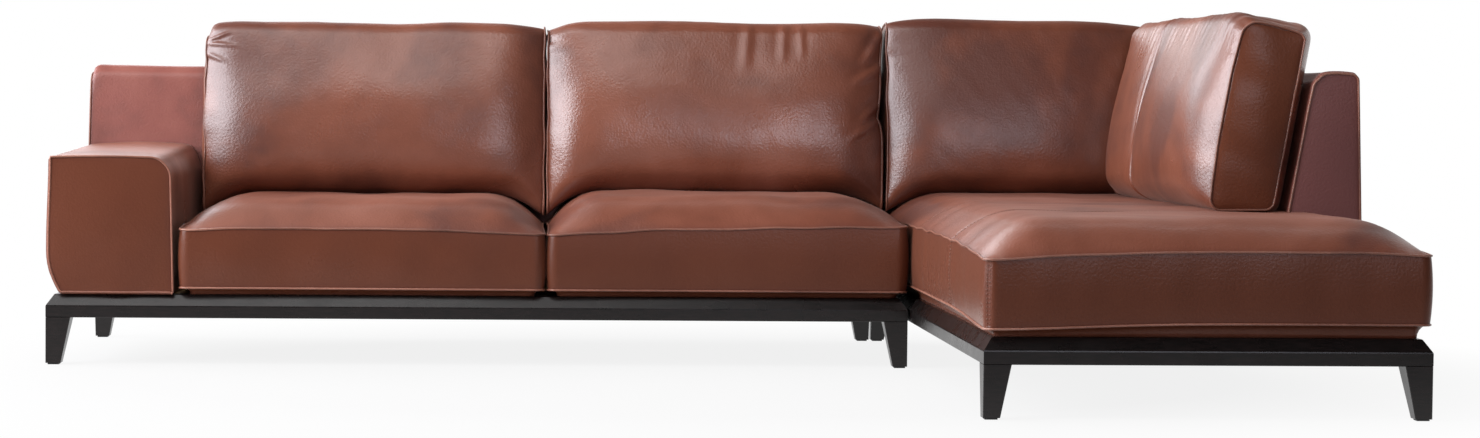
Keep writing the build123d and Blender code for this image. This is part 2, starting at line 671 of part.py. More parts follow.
board_top = ARM_TOP - ARM_WALL - FIT
panel_box = inset_evenly(arm_box, FIT)
with BuildPart() as arm_frame:
    x0, y0 = panel_box[0].X, panel_box[0].Y
    x1, y1 = panel_box[2].X, panel_box[2].Y
    for front in (y0, y1 - BOARD):
        panel = rectangle(x0, x1, front, front + BOARD)
        extrude(polygon_face(Plane.XY.offset(Z_DECK), panel), amount=board_top - Z_DECK)
    for left in (x0, x1 - BOARD):
        for level in (Z_DECK, board_top - BATTEN):
            batten = rectangle(left, left + BOARD, y0 + BOARD + BOARD_JOINT, y1 - BOARD - BOARD_JOINT)
            extrude(polygon_face(Plane.XY.offset(level), batten), amount=BATTEN)
finish(arm_frame, "arm_frame")

# Backs: one along the sofa, and two that meet in a mitre behind the chaise
back("sofa_back", rear_plane(X_SPLIT), SOFA_WIDTH, BACK_WALL, BACK_WALL, None)
back("chaise_back", rear_plane(X_RIGHT), CHAISE_WIDTH, BACK_DEPTH + BACK_WALL, BACK_WALL, Keep.BOTTOM)
back("side_back", return_plane(Y_RETURN), RETURN_LENGTH, BACK_WALL, BACK_DEPTH + BACK_WALL, Keep.TOP)

# Loose back cushions, standing on the seats and leaning on the backs
foot = -(CUSHION_DEPTH + CUSHION_CROWN) * RAKE_TAN - 2 * CUSHION_CORNER
middle_joint = SEAT_SPLIT + SEAT_GAP / 2
for name, x0, x1 in (
    ("left_cushion", SEAT_LEFT, middle_joint),
    ("middle_cushion", middle_joint, X_SPLIT),
    ("corner_cushion", X_CHAISE, X_RIGHT - CORNER_CUSHION_END),
):
    leaning = Plane(
        origin=(x0 + CUSHION_GAP / 2, Y_REAR - BACK_DEPTH, Z_SEAT),
        x_dir=(1, 0, 0),
        z_dir=(0, -RAKE_COS, RAKE_SIN),
    ).offset(FIT)
    cushion(name, leaning, rectangle(0, x1 - x0 - CUSHION_GAP, foot, CUSHION_HEIGHT))

# The side cushion's far end is cut to the lean of the corner cushion in front of it
far_end = Y_REAR - BACK_DEPTH - (CUSHION_DEPTH + CUSHION_CROWN + CUSHION_GAP) / RAKE_COS
near_end = far_end - Y_RETURN - SIDE_CUSHION_SETBACK
leaning = Plane(
    origin=(X_RIGHT - BACK_DEPTH, far_end, Z_SEAT),
    x_dir=(0, -1, 0),
    z_dir=(-RAKE_COS, 0, RAKE_SIN),
).offset(FIT)
side_corners = [
    Vector(-foot * RAKE_SIN, foot),
    Vector(near_end, foot),
    Vector(near_end, CUSHION_HEIGHT),
    Vector(-CUSHION_HEIGHT * RAKE_SIN, CUSHION_HEIGHT),
]
cushion("side_cushion", leaning, side_corners)
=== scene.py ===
"""A leather corner sofa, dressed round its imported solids.

The solids give every place. This file adds what the eye sees: padded leather covers, piping,
stitched seams, lacquered timber, a pale floor and soft light. Sizes are in metres, +X is right,
+Y is back and +Z is up.
"""

import logging
import math
from dataclasses import dataclass, field
from enum import Enum

import bpy
import numpy as np
from mathutils import Matrix, Vector


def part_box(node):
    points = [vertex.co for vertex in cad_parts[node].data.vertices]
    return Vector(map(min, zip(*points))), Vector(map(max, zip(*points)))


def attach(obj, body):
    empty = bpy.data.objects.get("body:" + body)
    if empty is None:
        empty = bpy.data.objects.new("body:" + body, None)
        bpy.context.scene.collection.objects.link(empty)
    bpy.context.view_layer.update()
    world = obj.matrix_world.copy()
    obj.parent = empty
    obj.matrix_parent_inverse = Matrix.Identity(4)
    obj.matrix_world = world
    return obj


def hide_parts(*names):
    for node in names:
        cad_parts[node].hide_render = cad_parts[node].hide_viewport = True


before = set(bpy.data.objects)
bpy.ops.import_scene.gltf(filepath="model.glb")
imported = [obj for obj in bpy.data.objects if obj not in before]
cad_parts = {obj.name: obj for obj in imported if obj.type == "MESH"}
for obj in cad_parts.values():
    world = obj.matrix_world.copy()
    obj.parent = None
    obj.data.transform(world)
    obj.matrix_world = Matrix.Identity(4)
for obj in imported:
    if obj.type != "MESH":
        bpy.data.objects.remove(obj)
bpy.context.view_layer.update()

logging.basicConfig(level=logging.INFO, format="%(name)s: %(message)s")
log = logging.getLogger("sofa")

# Short names for types
Array = np.ndarray
Pair = tuple[float, float]
Triple = tuple[float, float, float]
Quad = tuple[float, float, float, float]
Mesh, Piece = bpy.types.Mesh, bpy.types.Object
Material, Tree, Socket = bpy.types.Material, bpy.types.NodeTree, bpy.types.NodeSocket

# Lean of the backs and of the loose cushions
RAKE = math.radians(10.0)
RAKE_SIN, RAKE_COS, RAKE_TAN = math.sin(RAKE), math.cos(RAKE), math.tan(RAKE)
# How fast a crown flattens behind its seam
CROWN_POWER = 2.2
# Space kept between a soft piece and what it rests on
REST_GAP = 0.0006
# Further space kept round a loose cushion, below it and behind it
LOOSE_GAP = 0.0004
# How much of the boxing's tint, which is partly painted shade, a sewn rim takes
RIM_TINT = 0.5
# Shortest and longest wave, as shares of the usual length
WAVE_SPREAD = (0.6, 1.6)
# Places at which the density of stations is worked out
GRADE_SAMPLES = 2001
# Points round a stitch, and rings along it
STITCH_SIDES, STITCH_RINGS = 6, 5
# How many points are compared with the seams at a time
BLOCK = 4000
# Steps of the cloth simulation, and rounds of evening after it
FILL_STEPS, EVENING_ROUNDS = 18, 14


class Side(Enum):
    """The sides of a panel, in the order in which its rim runs."""

    BOTTOM = 0
    RIGHT = 1
    TOP = 2
    LEFT = 3


# Plain shapes as whole arrays


def unit(vectors: Array) -> Array:
    """Return vectors of length one."""
    return vectors / np.maximum(np.linalg.norm(vectors, axis=-1, keepdims=True), 1e-12)


def smooth(low: float, high: float, value: Array) -> Array:
    """Return 0 below low, 1 above high and an S-curve between them."""
    share = np.clip((value - low) / (high - low), 0.0, 1.0)
    return share * share * (3.0 - 2.0 * share)


def rolled(distance: Array, roll: float) -> Array:
    """Return the share of a crown's height at a distance behind its seam: one less a falling power."""
    return 1.0 - (1.0 - np.clip(distance / roll, 0.0, 1.0)) ** CROWN_POWER


def bell(distance: Array, depth: float, reach: float) -> Array:
    """Return a bell curve: depth at distance 0, and next to nothing at twice the reach."""
    return depth * np.exp(-((distance / reach) ** 2))


def dome(us: Array, vs: Array, power: float, height: float = 1.0) -> Array:
    """Return a bulge over a grid: half a sine wave each way, to a power that flattens its middle."""
    return height * np.sin(math.pi * us)[:, None] ** power * np.sin(math.pi * vs)[None] ** power


def tucked(rise: Array, depth: float, reach: float) -> Array:
    """Return how far a side is tucked in at a rise above its foot: a falling square."""
    return depth * (1 - np.clip(rise / reach, 0, 1)) ** 2


def waves(points: Array, size: float, seed: int, count: int = 9) -> Array:
    """Return soft random heights: a sum of sine waves in random directions.

    Args:
        points: Places, with any number of coordinates in the last axis.
        size: The usual length of a wave.
        seed: Picks the waves, so that each run gives the same ones.
        count: How many waves are added.

    Returns:
        One height for each point, mostly between -1 and 1.
    """
    rng = np.random.default_rng(seed)
    headings = unit(rng.normal(size=(count, points.shape[-1])))
    lengths = size * rng.uniform(*WAVE_SPREAD, count)
    phases = rng.uniform(0.0, 2.0 * math.pi, count)
    angles = points @ headings.T * (2.0 * math.pi / lengths) + phases
    return np.sin(angles).sum(axis=-1) / math.sqrt(count)


def graded(length: float, focus: list[float], fine: float, coarse: float, reach: float) -> Array:
    """Return stations along a length that crowd together near the focus places.

    The spacing is coarse, and falls to fine on a bell curve round each focus place. The stations
    share out the running total of one over the spacing.

    Args:
        length: The whole length.
        focus: Places where the stations crowd.
        fine: Spacing at a focus place.
        coarse: Spacing far from them.
        reach: Half width of the bell curve.

    Returns:
        The stations, from 0 to the length.
    """
    along = np.linspace(0.0, length, GRADE_SAMPLES)
    crowd = bell(along[:, None] - np.array(focus), 1.0, reach).max(axis=1)
    density = 1.0 / coarse + (1.0 / fine - 1.0 / coarse) * crowd
    total = np.concatenate([[0.0], np.cumsum((density[1:] + density[:-1]) / 2 * np.diff(along))])
    count = max(2, round(total[-1]))
    return np.interp(np.linspace(0.0, total[-1], count + 1), total, along)


def bow(share: Array, depth: float) -> Array:
    """Return a parabola over a side, 0 at its ends and depth in its middle."""
    return 4.0 * depth * share * (1.0 - share)


def side_curve(start: Array, end: Array, share: Array, radii: Pair, draw: Array) -> Array:
    """Return points along one side of a sewn panel.

    The side runs straight from corner to corner, is drawn inwards, and turns through half of a
    circular arc at each end, so that two sides meet in the middle of a round corner.

    Args:
        start: The corner where the side starts.
        end: The corner where it ends, with the panel on its left.
        share: Places along the side, from 0 to 1.
        radii: Radius of the arc at the start and at the end.
        draw: How far each place is drawn inwards.

    Returns:
        One point for each share.
    """
    run = end - start
    length = float(np.linalg.norm(run))
    along = run / length
    inward = np.array([-along[1], along[0]])
    at = share * length
    shift, drop = np.zeros_like(at), np.array(draw, float)
    for radius, near, sign in ((radii[0], at, 1.0), (radii[1], length - at, -1.0)):
        if radius > 0.0:
            angle = math.pi / 4 * np.clip(1.0 - near / radius, 0.0, 1.0)
            moved = np.where(near < radius, radius * (1.0 - np.sin(angle)), near)
            shift = shift + sign * (moved - near)
            drop = drop + radius * (1.0 - np.cos(angle))
    return start + np.outer(at + shift, along) + np.outer(drop, inward)


def panel(corners: list[Pair], us: Array, vs: Array, radii: list[float],
          draws: dict[Side, Array] | None = None) -> Array:
    """Return the grid of a sewn panel inside four drawn sides.

    The grid is the sum of the two ways of joining opposite sides by straight lines, less the plain
    patch of the four corners.

    Args:
        corners: Bottom left, bottom right, top right and top left.
        us: Shares across, from 0 to 1.
        vs: Shares upwards, from 0 to 1.
        radii: Radius of each corner, in the same order.
        draws: Inward pull along each side, where there is any, counted left to right or upwards.

    Returns:
        Points as an array of shape (len(us), len(vs), 2).
    """
    pull = {side: np.zeros(len(us if side in (Side.BOTTOM, Side.TOP) else vs)) for side in Side}
    pull.update(draws or {})
    bl, br, tr, tl = (np.array(corner, float) for corner in corners)
    bottom = side_curve(bl, br, us, (radii[0], radii[1]), pull[Side.BOTTOM])
    right = side_curve(br, tr, vs, (radii[1], radii[2]), pull[Side.RIGHT])
    top = side_curve(tr, tl, 1.0 - us[::-1], (radii[2], radii[3]), pull[Side.TOP][::-1])[::-1]
    left = side_curve(tl, bl, 1.0 - vs[::-1], (radii[3], radii[0]), pull[Side.LEFT][::-1])[::-1]
    u, v = us[:, None, None], vs[None, :, None]
    across = (1 - v) * bottom[:, None] + v * top[:, None]
    upward = (1 - u) * left[None] + u * right[None]
    patch = (1 - u) * (1 - v) * bottom[0] + u * (1 - v) * bottom[-1]
    return across + upward - patch - (1 - u) * v * top[0] - u * v * top[-1]


def rim(shape: tuple[int, int], turns: list[tuple[int, int]] | None = None) -> Array:
    """Return the vertex numbers round a grid, in straight runs from turn to turn.

    Args:
        shape: How many points the grid has each way.
        turns: Grid places where the rim turns. The four corners if None.

    Returns:
        The vertex numbers, each of them once.
    """
    nu, nv = shape[0] - 1, shape[1] - 1
    turns = turns or [(0, 0), (nu, 0), (nu, nv), (0, nv)]
    runs = []
    for (i0, j0), (i1, j1) in zip(turns, turns[1:] + turns[:1]):
        step = np.arange(max(abs(i1 - i0), abs(j1 - j0)))
        runs.append((i0 + np.sign(i1 - i0) * step) * shape[1] + j0 + np.sign(j1 - j0) * step)
    return np.concatenate(runs)


@dataclass
class Shell:
    """A closed skin with its two sewn rims."""

    vertices: Array
    faces: Array
    front_rim: Array
    rear_rim: Array
    band: Array

    def rims(self) -> Array:
        """Return the vertex numbers of both rims."""
        return np.concatenate([self.front_rim, self.rear_rim])

    def rim_points(self) -> Array:
        """Return the points of both rims."""
        return self.vertices[self.rims()]


def sew(front: Array, rows: Array, rear: Array, turns: list[tuple[int, int]] | None = None,
        keep: Array | None = None) -> Shell:
    """Join a front panel, a band of rows and a rear panel into one closed skin.

    Args:
        front: Grid of the front panel, anticlockwise as seen from outside.
        rows: Rows of the band between the two rims, shape (rows, rim length, 3).
        rear: Grid of the rear panel, with the same layout as the front one.
        turns: Grid places where the rim turns. The four corners if None.
        keep: Which cells of the grid are used. All if None.

    Returns:
        The skin, without the grid points that no cell uses.
    """
    shape = front.shape[:2]
    loop = rim(shape, turns)
    index = np.arange(shape[0] * shape[1]).reshape(shape)
    quads = np.stack([index[:-1, :-1], index[1:, :-1], index[1:, 1:], index[:-1, 1:]], axis=-1)
    quads = quads.reshape(-1, 4) if keep is None else quads[keep]
    first = index.size
    second = first + rows.shape[0] * rows.shape[1]
    middle = first + np.arange(second - first).reshape(rows.shape[:2])
    rings = np.vstack([loop[None], middle, second + loop[None]])
    upper, lower = rings[:-1], rings[1:]
    band = np.stack([upper, lower, np.roll(lower, -1, 1), np.roll(upper, -1, 1)], axis=-1)
    faces = np.vstack([quads, band.reshape(-1, 4), second + quads[:, ::-1]])
    points = np.vstack([front.reshape(-1, 3), rows.reshape(-1, 3), rear.reshape(-1, 3)])
    used, numbered = np.unique(faces, return_inverse=True)
    return Shell(
        vertices=points[used],
        faces=numbered.reshape(faces.shape),
        front_rim=np.searchsorted(used, loop),
        rear_rim=np.searchsorted(used, second + loop),
        band=(used >= first) & (used < second),
    )


def tube(path: Array, lift: Array, radius: float, sides: int = 8) -> tuple[Array, Array]:
    """Carry a circle along a closed path.

    Args:
        path: Points of the loop.
        lift: A direction, or one for each point, that the circle's plane holds.
        radius: Radius of the circle.
        sides: Points round the circle.

    Returns:
        The vertices and the faces of the tube.
    """
    tangent = unit(np.roll(path, -1, 0) - np.roll(path, 1, 0))
    across = unit(np.cross(tangent, lift))
    upward = np.cross(across, tangent)
    turn = 2 * math.pi * np.arange(sides) / sides
    circle = (
        np.cos(turn)[None, :, None] * across[:, None]
        + np.sin(turn)[None, :, None] * upward[:, None]
    )
    ring = np.arange(len(path) * sides).reshape(len(path), sides)
    ahead, beside = np.roll(ring, -1, 0), np.roll(ring, -1, 1)
    quads = np.stack([ring, beside, np.roll(ahead, -1, 1), ahead], axis=-1)
    return (path[:, None] + radius * circle).reshape(-1, 3), quads.reshape(-1, 4)


def sampled(at: Array, along: Array, vectors: Array) -> Array:
    """Return vectors at places along a path, read off on straight lines between its points."""
    return np.stack([np.interp(at, along, column) for column in vectors.T], axis=-1)


def stitch_row(path: Array, normal: Array, pitch: float, length: float,
               radius: float) -> tuple[Array, Array]:
    """Lay a row of short stitches along an open path.

    Each stitch is a slim spindle: rings of six points whose radius follows half a sine wave.

    Args:
        path: Points along the seam.
        normal: Outward direction at each point.
        pitch: Distance from one stitch to the next.
        length: Length of one stitch.
        radius: Radius at its middle.

    Returns:
        The vertices and the faces of all the stitches.
    """
    along = np.concatenate([[0.0], np.cumsum(np.linalg.norm(np.diff(path, axis=0), axis=1))])
    at = np.arange(pitch / 2, along[-1], pitch)
    centre = sampled(at, along, path)
    heading = unit(sampled(at, along, np.gradient(path, axis=0)))
    across = unit(np.cross(heading, unit(sampled(at, along, normal))))
    outward = np.cross(across, heading)
    turn = 2 * math.pi * np.arange(STITCH_SIDES) / STITCH_SIDES
    share = np.linspace(0.04, 0.96, STITCH_RINGS)
    thick = radius * np.sin(math.pi * share)
    axial = (share - 0.5) * length
    spindle = (
        axial[None, :, None, None] * heading[:, None, None]
        + (thick[:, None] * np.cos(turn))[None, :, :, None] * across[:, None, None]
        + (thick[:, None] * np.sin(turn))[None, :, :, None] * outward[:, None, None]
    )
    points = centre[:, None, None] + spindle
    number = np.arange(points.size // 3).reshape(points.shape[:3])
    ring, ahead = number[:, :-1], number[:, 1:]
    quads = np.stack([ring, np.roll(ring, -1, 2), np.roll(ahead, -1, 2), ahead], axis=-1)
    caps = np.concatenate([number[:, 0, ::-1], number[:, -1]])
    # A six-sided cap is closed by two four-sided halves
    halves = np.concatenate([caps[:, [0, 1, 2, 3]], caps[:, [0, 3, 4, 5]]])
    return points.reshape(-1, 3), np.vstack([quads.reshape(-1, 4), halves])


def joined(parts: list[tuple[Array, Array]]) -> tuple[Array, Array]:
    """Return several meshes as one.

    Args:
        parts: The vertices and the faces of each mesh.

    Returns:
        The vertices and the faces of all of them.
    """
    offsets = np.cumsum([0] + [len(points) for points, _ in parts[:-1]])
    faces = np.vstack([quads + offset for (_, quads), offset in zip(parts, offsets)])
    return np.vstack([points for points, _ in parts]), faces


def nearest(points: Array, targets: Array) -> Array:
    """Return the distance from each point to the nearest target, worked out a block at a time.

    Args:
        points: The points.
        targets: What they are measured to.

    Returns:
        One distance for each point.
    """
    found = np.empty(len(points))
    for start in range(0, len(points), BLOCK):
        block = points[start:start + BLOCK]
        squares = (block**2).sum(1)[:, None] + (targets**2).sum(1)[None] - 2 * block @ targets.T
        found[start:start + BLOCK] = np.sqrt(np.maximum(squares.min(axis=1), 0.0))
    return found


# Objects and what is done to them


def make_object(name: str, vertices: Array, faces: Array) -> Piece:
    """Put arrays into a new smooth object at the origin.

    Args:
        name: The object's name.
        vertices: Its points.
        faces: Its four-sided faces, as vertex numbers.

    Returns:
        The object.
    """
    mesh = bpy.data.meshes.new(name)
    mesh.vertices.add(len(vertices))
    mesh.vertices.foreach_set("co", np.ascontiguousarray(vertices, np.float32).ravel())
    mesh.loops.add(faces.size)
    mesh.loops.foreach_set("vertex_index", np.ascontiguousarray(faces, np.int32).ravel())
    mesh.polygons.add(len(faces))
    mesh.polygons.foreach_set("loop_start", np.arange(0, faces.size, 4, dtype=np.int32))
    mesh.polygons.foreach_set("use_smooth", np.ones(len(faces), bool))
    mesh.update(calc_edges=True)
    mesh.validate()
    made = bpy.data.objects.new(name, mesh)
    bpy.context.scene.collection.objects.link(made)
    return made


def read(rows: bpy.types.bpy_prop_collection, name: str) -> Array:
    """Return three numbers for each row of a mesh's data.

    Args:
        rows: The data, such as the vertices or their normals.
        name: What is read from each row.

    Returns:
        An array with one row of three numbers for each of them.
    """
    found = np.empty(len(rows) * 3, np.float32)
    rows.foreach_get(name, found)
    return found.reshape(-1, 3).astype(float)


def points_of(mesh: Mesh) -> Array:
    """Return the places of a mesh's vertices."""
    return read(mesh.vertices, "co")


def normals_of(mesh: Mesh) -> Array:
    """Return the outward direction at each vertex of a mesh."""
    return read(mesh.vertex_normals, "vector")


def move_points(mesh: Mesh, points: Array) -> None:
    """Put a mesh's vertices at new places."""
    mesh.vertices.foreach_set("co", np.ascontiguousarray(points, np.float32).ravel())
    mesh.update()


def evened(mesh: Mesh, shift: Array, held: Array, rounds: int) -> Array:
    """Even out moves over a mesh: each round brings a move half way to the mean of its neighbours.

    Args:
        mesh: The mesh whose edges join the neighbours.
        shift: The move of each vertex.
        held: Which vertices stay where they are.
        rounds: How often it is done.

    Returns:
        The evened moves.
    """
    ends = np.empty(len(mesh.edges) * 2, np.int32)
    mesh.edges.foreach_get("vertices", ends)
    first, second = ends.reshape(-1, 2).T
    count = np.bincount(ends, minlength=len(shift))[:, None]
    for _ in range(rounds):
        total = np.zeros_like(shift)
        np.add.at(total, first, shift[second])
        np.add.at(total, second, shift[first])
        shift = 0.5 * shift + 0.5 * total / count
        shift[held] = 0.0
    return shift


def stuff(piece: Piece, held: Array, pressure: float, slack: float, cap: float,
          share: Array) -> None:
    """Fill a cover by a short cloth simulation and keep the result.

    The moves are evened out, and their lengths are held under the cap by a hyperbolic tangent.

    Args:
        piece: The cover.
        held: Which vertices stay where they are, such as seams and the parts that rest on something.
        pressure: Pressure of the filling.
        slack: How much longer the leather is cut than the space it spans.
        cap: The farthest that a point may move.
        share: How much of its move each vertex keeps.
    """
    start = points_of(piece.data)
    group = piece.vertex_groups.new(name="held")
    group.add(np.flatnonzero(held).tolist(), 1.0, "REPLACE")
    cloth = piece.modifiers.new("filling", "CLOTH")
    settings = cloth.settings
    settings.quality = 6
    settings.mass = 0.4
    settings.tension_stiffness = settings.compression_stiffness = 25.0
    settings.shear_stiffness = 10.0
    settings.bending_stiffness = 1.5
    settings.air_damping = 2.0
    settings.vertex_group_mass = "held"
    settings.shrink_min = -slack
    settings.use_pressure = True
    settings.uniform_pressure_force = pressure
    settings.effector_weights.gravity = 0.0
    cloth.collision_settings.use_collision = False
    cloth.collision_settings.use_self_collision = False
    cloth.point_cache.frame_start, cloth.point_cache.frame_end = 1, FILL_STEPS
    scene = bpy.context.scene
    for step in range(1, FILL_STEPS + 1):
        scene.frame_set(step)
    filled = piece.evaluated_get(bpy.context.evaluated_depsgraph_get())
    shift = points_of(filled.data) - start
    piece.modifiers.remove(cloth)
    piece.vertex_groups.remove(group)
    scene.frame_set(1)
    shift = evened(piece.data, shift, held, EVENING_ROUNDS)
    reach = np.linalg.norm(shift, axis=1, keepdims=True)
    kept = share[:, None] * cap * np.tanh(reach / cap) / np.maximum(reach, 1e-9)
    move_points(piece.data, start + shift * kept)


def subdivide(piece: Piece, levels: int) -> None:
    """Round a piece off by subdivision and keep the result.

    Args:
        piece: The piece, which gets a new mesh.
        levels: How often each face is divided.
    """
    finer = piece.modifiers.new("finer", "SUBSURF")
    finer.levels = finer.render_levels = levels
    finer.boundary_smooth = "PRESERVE_CORNERS"
    made = bpy.data.meshes.new_from_object(piece.evaluated_get(bpy.context.evaluated_depsgraph_get()))
    piece.modifiers.remove(finer)
    coarse, piece.data = piece.data, made
    bpy.data.meshes.remove(coarse)


def set_field(mesh: Mesh, name: str, values: Array) -> None:
    """Store one number for each vertex, for the materials to read."""
    stored = mesh.attributes.get(name) or mesh.attributes.new(name, "FLOAT", "POINT")
    stored.data.foreach_set("value", np.ascontiguousarray(values, np.float32))


# Finishes


def linear(code: str) -> Quad:
    """Return an sRGB hex colour as linear RGBA.

    Args:
        code: The colour, as a hash sign and six digits.

    Returns:
        Red, green, blue and an alpha of one.
    """
    parts = np.array([int(code[k:k + 2], 16) for k in (1, 3, 5)]) / 255.0
    values = np.where(parts <= 0.04045, parts / 12.92, ((parts + 0.055) / 1.055) ** 2.4)
    return (*map(float, values), 1.0)


def add(tree: Tree, kind: str, links: dict[str | int, object],
        **settings: object) -> bpy.types.Node:
    """Add a node to a tree.

    Args:
        tree: The material's nodes.
        kind: The node's type.
        links: What goes into each input: another node's output, or a plain value.
        settings: The node's own options.

    Returns:
        The node.
    """
    node = tree.nodes.new(kind)
    for name, value in settings.items():
        setattr(node, name, value)
    for name, value in links.items():
        if isinstance(value, Socket):
            tree.links.new(value, node.inputs[name])
        else:
            node.inputs[name].default_value = value
    return node


def set_ramp(node: bpy.types.Node, stops: list[tuple[float, str]]) -> None:
    """Give a colour ramp its stops.

    Args:
        node: The ramp's node.
        stops: Place and colour of each stop, from the lowest to the highest.
    """
    ramp = node.color_ramp
    for place, _ in stops[1:-1]:
        ramp.elements.new(place)
    for element, (place, code) in zip(ramp.elements, stops):
        element.position = place
        element.color = linear(code)


def new_material(name: str) -> tuple[Material, Tree]:
    """Make a material with no nodes.

    Args:
        name: The material's name.

    Returns:
        The material and its empty node tree.
    """
    material = bpy.data.materials.new(name)
    material.use_nodes = True
    material.node_tree.nodes.clear()
    return material, material.node_tree


@dataclass(frozen=True)
class Leather:
    """Aniline cowhide, drum dyed, waxed and rubbed by hand.

    The dye takes unevenly, so the eye sees broad soft clouds of darker and lighter brown, faint
    mottling in them, a pebbled grain, and a wax sheen that changes in patches.
    """

    name: str
    deep: str
    body: str
    warm: str
    worn: str
    # Colour of the boxing and end panels, and how much of it they take: partly the panels' own tone,
    # partly painted shade for upright faces that get less light
    boxing: str
    boxing_share: float = 0.6
    # The upright boxing is rubbed less than the faces, so it keeps less of the wax
    polish: float = 0.5
    boxing_polish: float = 0.22
    # Roughness of the lightest and of the darkest clouds
    roughness: Pair = (0.26, 0.40)
    # Level tops gather dust and the touch of hands, so their wax has gone dull
    dull_roughness: float = 0.58
    dull_polish: float = 0.18
    # Width of the clouds and of the mottling, the share of the mottling, and how dark the painted shade
    # beside a seam gets
    cloud: float = 0.46
    mottle: float = 0.06
    mottle_share: float = 0.14
    seam_shade: float = 0.5
    # The real pebbles are about 1.5 mm, drawn coarser here so that they show at all
    pebble: float = 0.0058
    pebble_depth: float = 0.0008

    def material(self) -> Material:
        """Make the finish's nodes.

        Returns:
            The finish as a material.
        """
        made, tree = new_material(self.name)
        place = add(tree, "ShaderNodeTexCoord", {}).outputs["Object"]
        cloud = add(tree, "ShaderNodeTexNoise", {
            "Vector": place, "Scale": 1 / self.cloud, "Detail": 3.0, "Roughness": 0.5,
            "Distortion": 0.6})
        mottle = add(tree, "ShaderNodeTexNoise", {
            "Vector": place, "Scale": 1 / self.mottle, "Detail": 4.0, "Roughness": 0.6})
        both = add(tree, "ShaderNodeMix", {
            0: self.mottle_share, 2: cloud.outputs["Fac"], 3: mottle.outputs["Fac"]})
        dyed = add(tree, "ShaderNodeValToRGB", {"Fac": both.outputs[0]})
        set_ramp(dyed, [(0.36, self.deep), (0.47, self.body), (0.56, self.warm), (0.68, self.worn)])
        # Painted shade, partly own tone: the boxing's darker tint is mixed into the upright faces and end
        # panels
        boxing = add(tree, "ShaderNodeAttribute", {}, attribute_name="boxing")
        cut = add(tree, "ShaderNodeMath", {
            0: boxing.outputs["Fac"], 1: self.boxing_share}, operation="MULTIPLY")
        tinted = add(tree, "ShaderNodeMix", {
            0: cut.outputs[0], 6: dyed.outputs["Color"], 7: linear(self.boxing)}, data_type="RGBA")
        # Painted shade: near a seam the hide is mixed towards its deep colour, for the shade in the seam's
        # groove
        seam = add(tree, "ShaderNodeAttribute", {}, attribute_name="seam")
        crease = add(tree, "ShaderNodeMath", {
            0: seam.outputs["Fac"], 1: self.seam_shade}, operation="MULTIPLY")
        shaded = add(tree, "ShaderNodeMix", {
            0: crease.outputs[0], 6: tinted.outputs[2], 7: linear(self.deep)}, data_type="RGBA")
        grain = add(tree, "ShaderNodeTexVoronoi", {
            "Vector": place, "Scale": 1 / self.pebble, "Randomness": 0.9}, feature="SMOOTH_F1")
        pores = add(tree, "ShaderNodeTexNoise", {
            "Vector": place, "Scale": 2.5 / self.pebble, "Detail": 2.0})
        height = add(tree, "ShaderNodeMath", {
            0: pores.outputs["Fac"], 1: -0.5, 2: grain.outputs["Distance"]}, operation="MULTIPLY_ADD")
        soft = add(tree, "ShaderNodeBump", {
            "Height": mottle.outputs["Fac"], "Strength": 0.12, "Distance": 0.0012})
        bump = add(tree, "ShaderNodeBump", {
            "Height": height.outputs[0], "Strength": 0.55, "Distance": self.pebble_depth,
            "Normal": soft.outputs["Normal"]}, invert=True)
        gloss = add(tree, "ShaderNodeMapRange", {
            "Value": both.outputs[0], "From Min": 0.36, "From Max": 0.66,
            "To Min": self.roughness[1], "To Max": self.roughness[0]})
        dull = add(tree, "ShaderNodeAttribute", {}, attribute_name="dull")
        rubbed = add(tree, "ShaderNodeMix", {
            0: dull.outputs["Fac"], 2: gloss.outputs["Result"], 3: self.dull_roughness})
        polish = add(tree, "ShaderNodeMapRange", {
            "Value": boxing.outputs["Fac"], "To Min": self.polish, "To Max": self.boxing_polish})
        waxed = add(tree, "ShaderNodeMix", {
            0: dull.outputs["Fac"], 2: polish.outputs["Result"], 3: self.dull_polish})
        shader = add(tree, "ShaderNodeBsdfPrincipled", {
            "Base Color": shaded.outputs[2], "Roughness": rubbed.outputs[0],
            "Specular IOR Level": waxed.outputs[0], "Normal": bump.outputs["Normal"], "IOR": 1.5,
            "Sheen Weight": 0.10, "Sheen Roughness": 0.35, "Sheen Tint": linear("#e8c4b6")})
        add(tree, "ShaderNodeOutputMaterial", {"Surface": shader.outputs["BSDF"]})
        return made


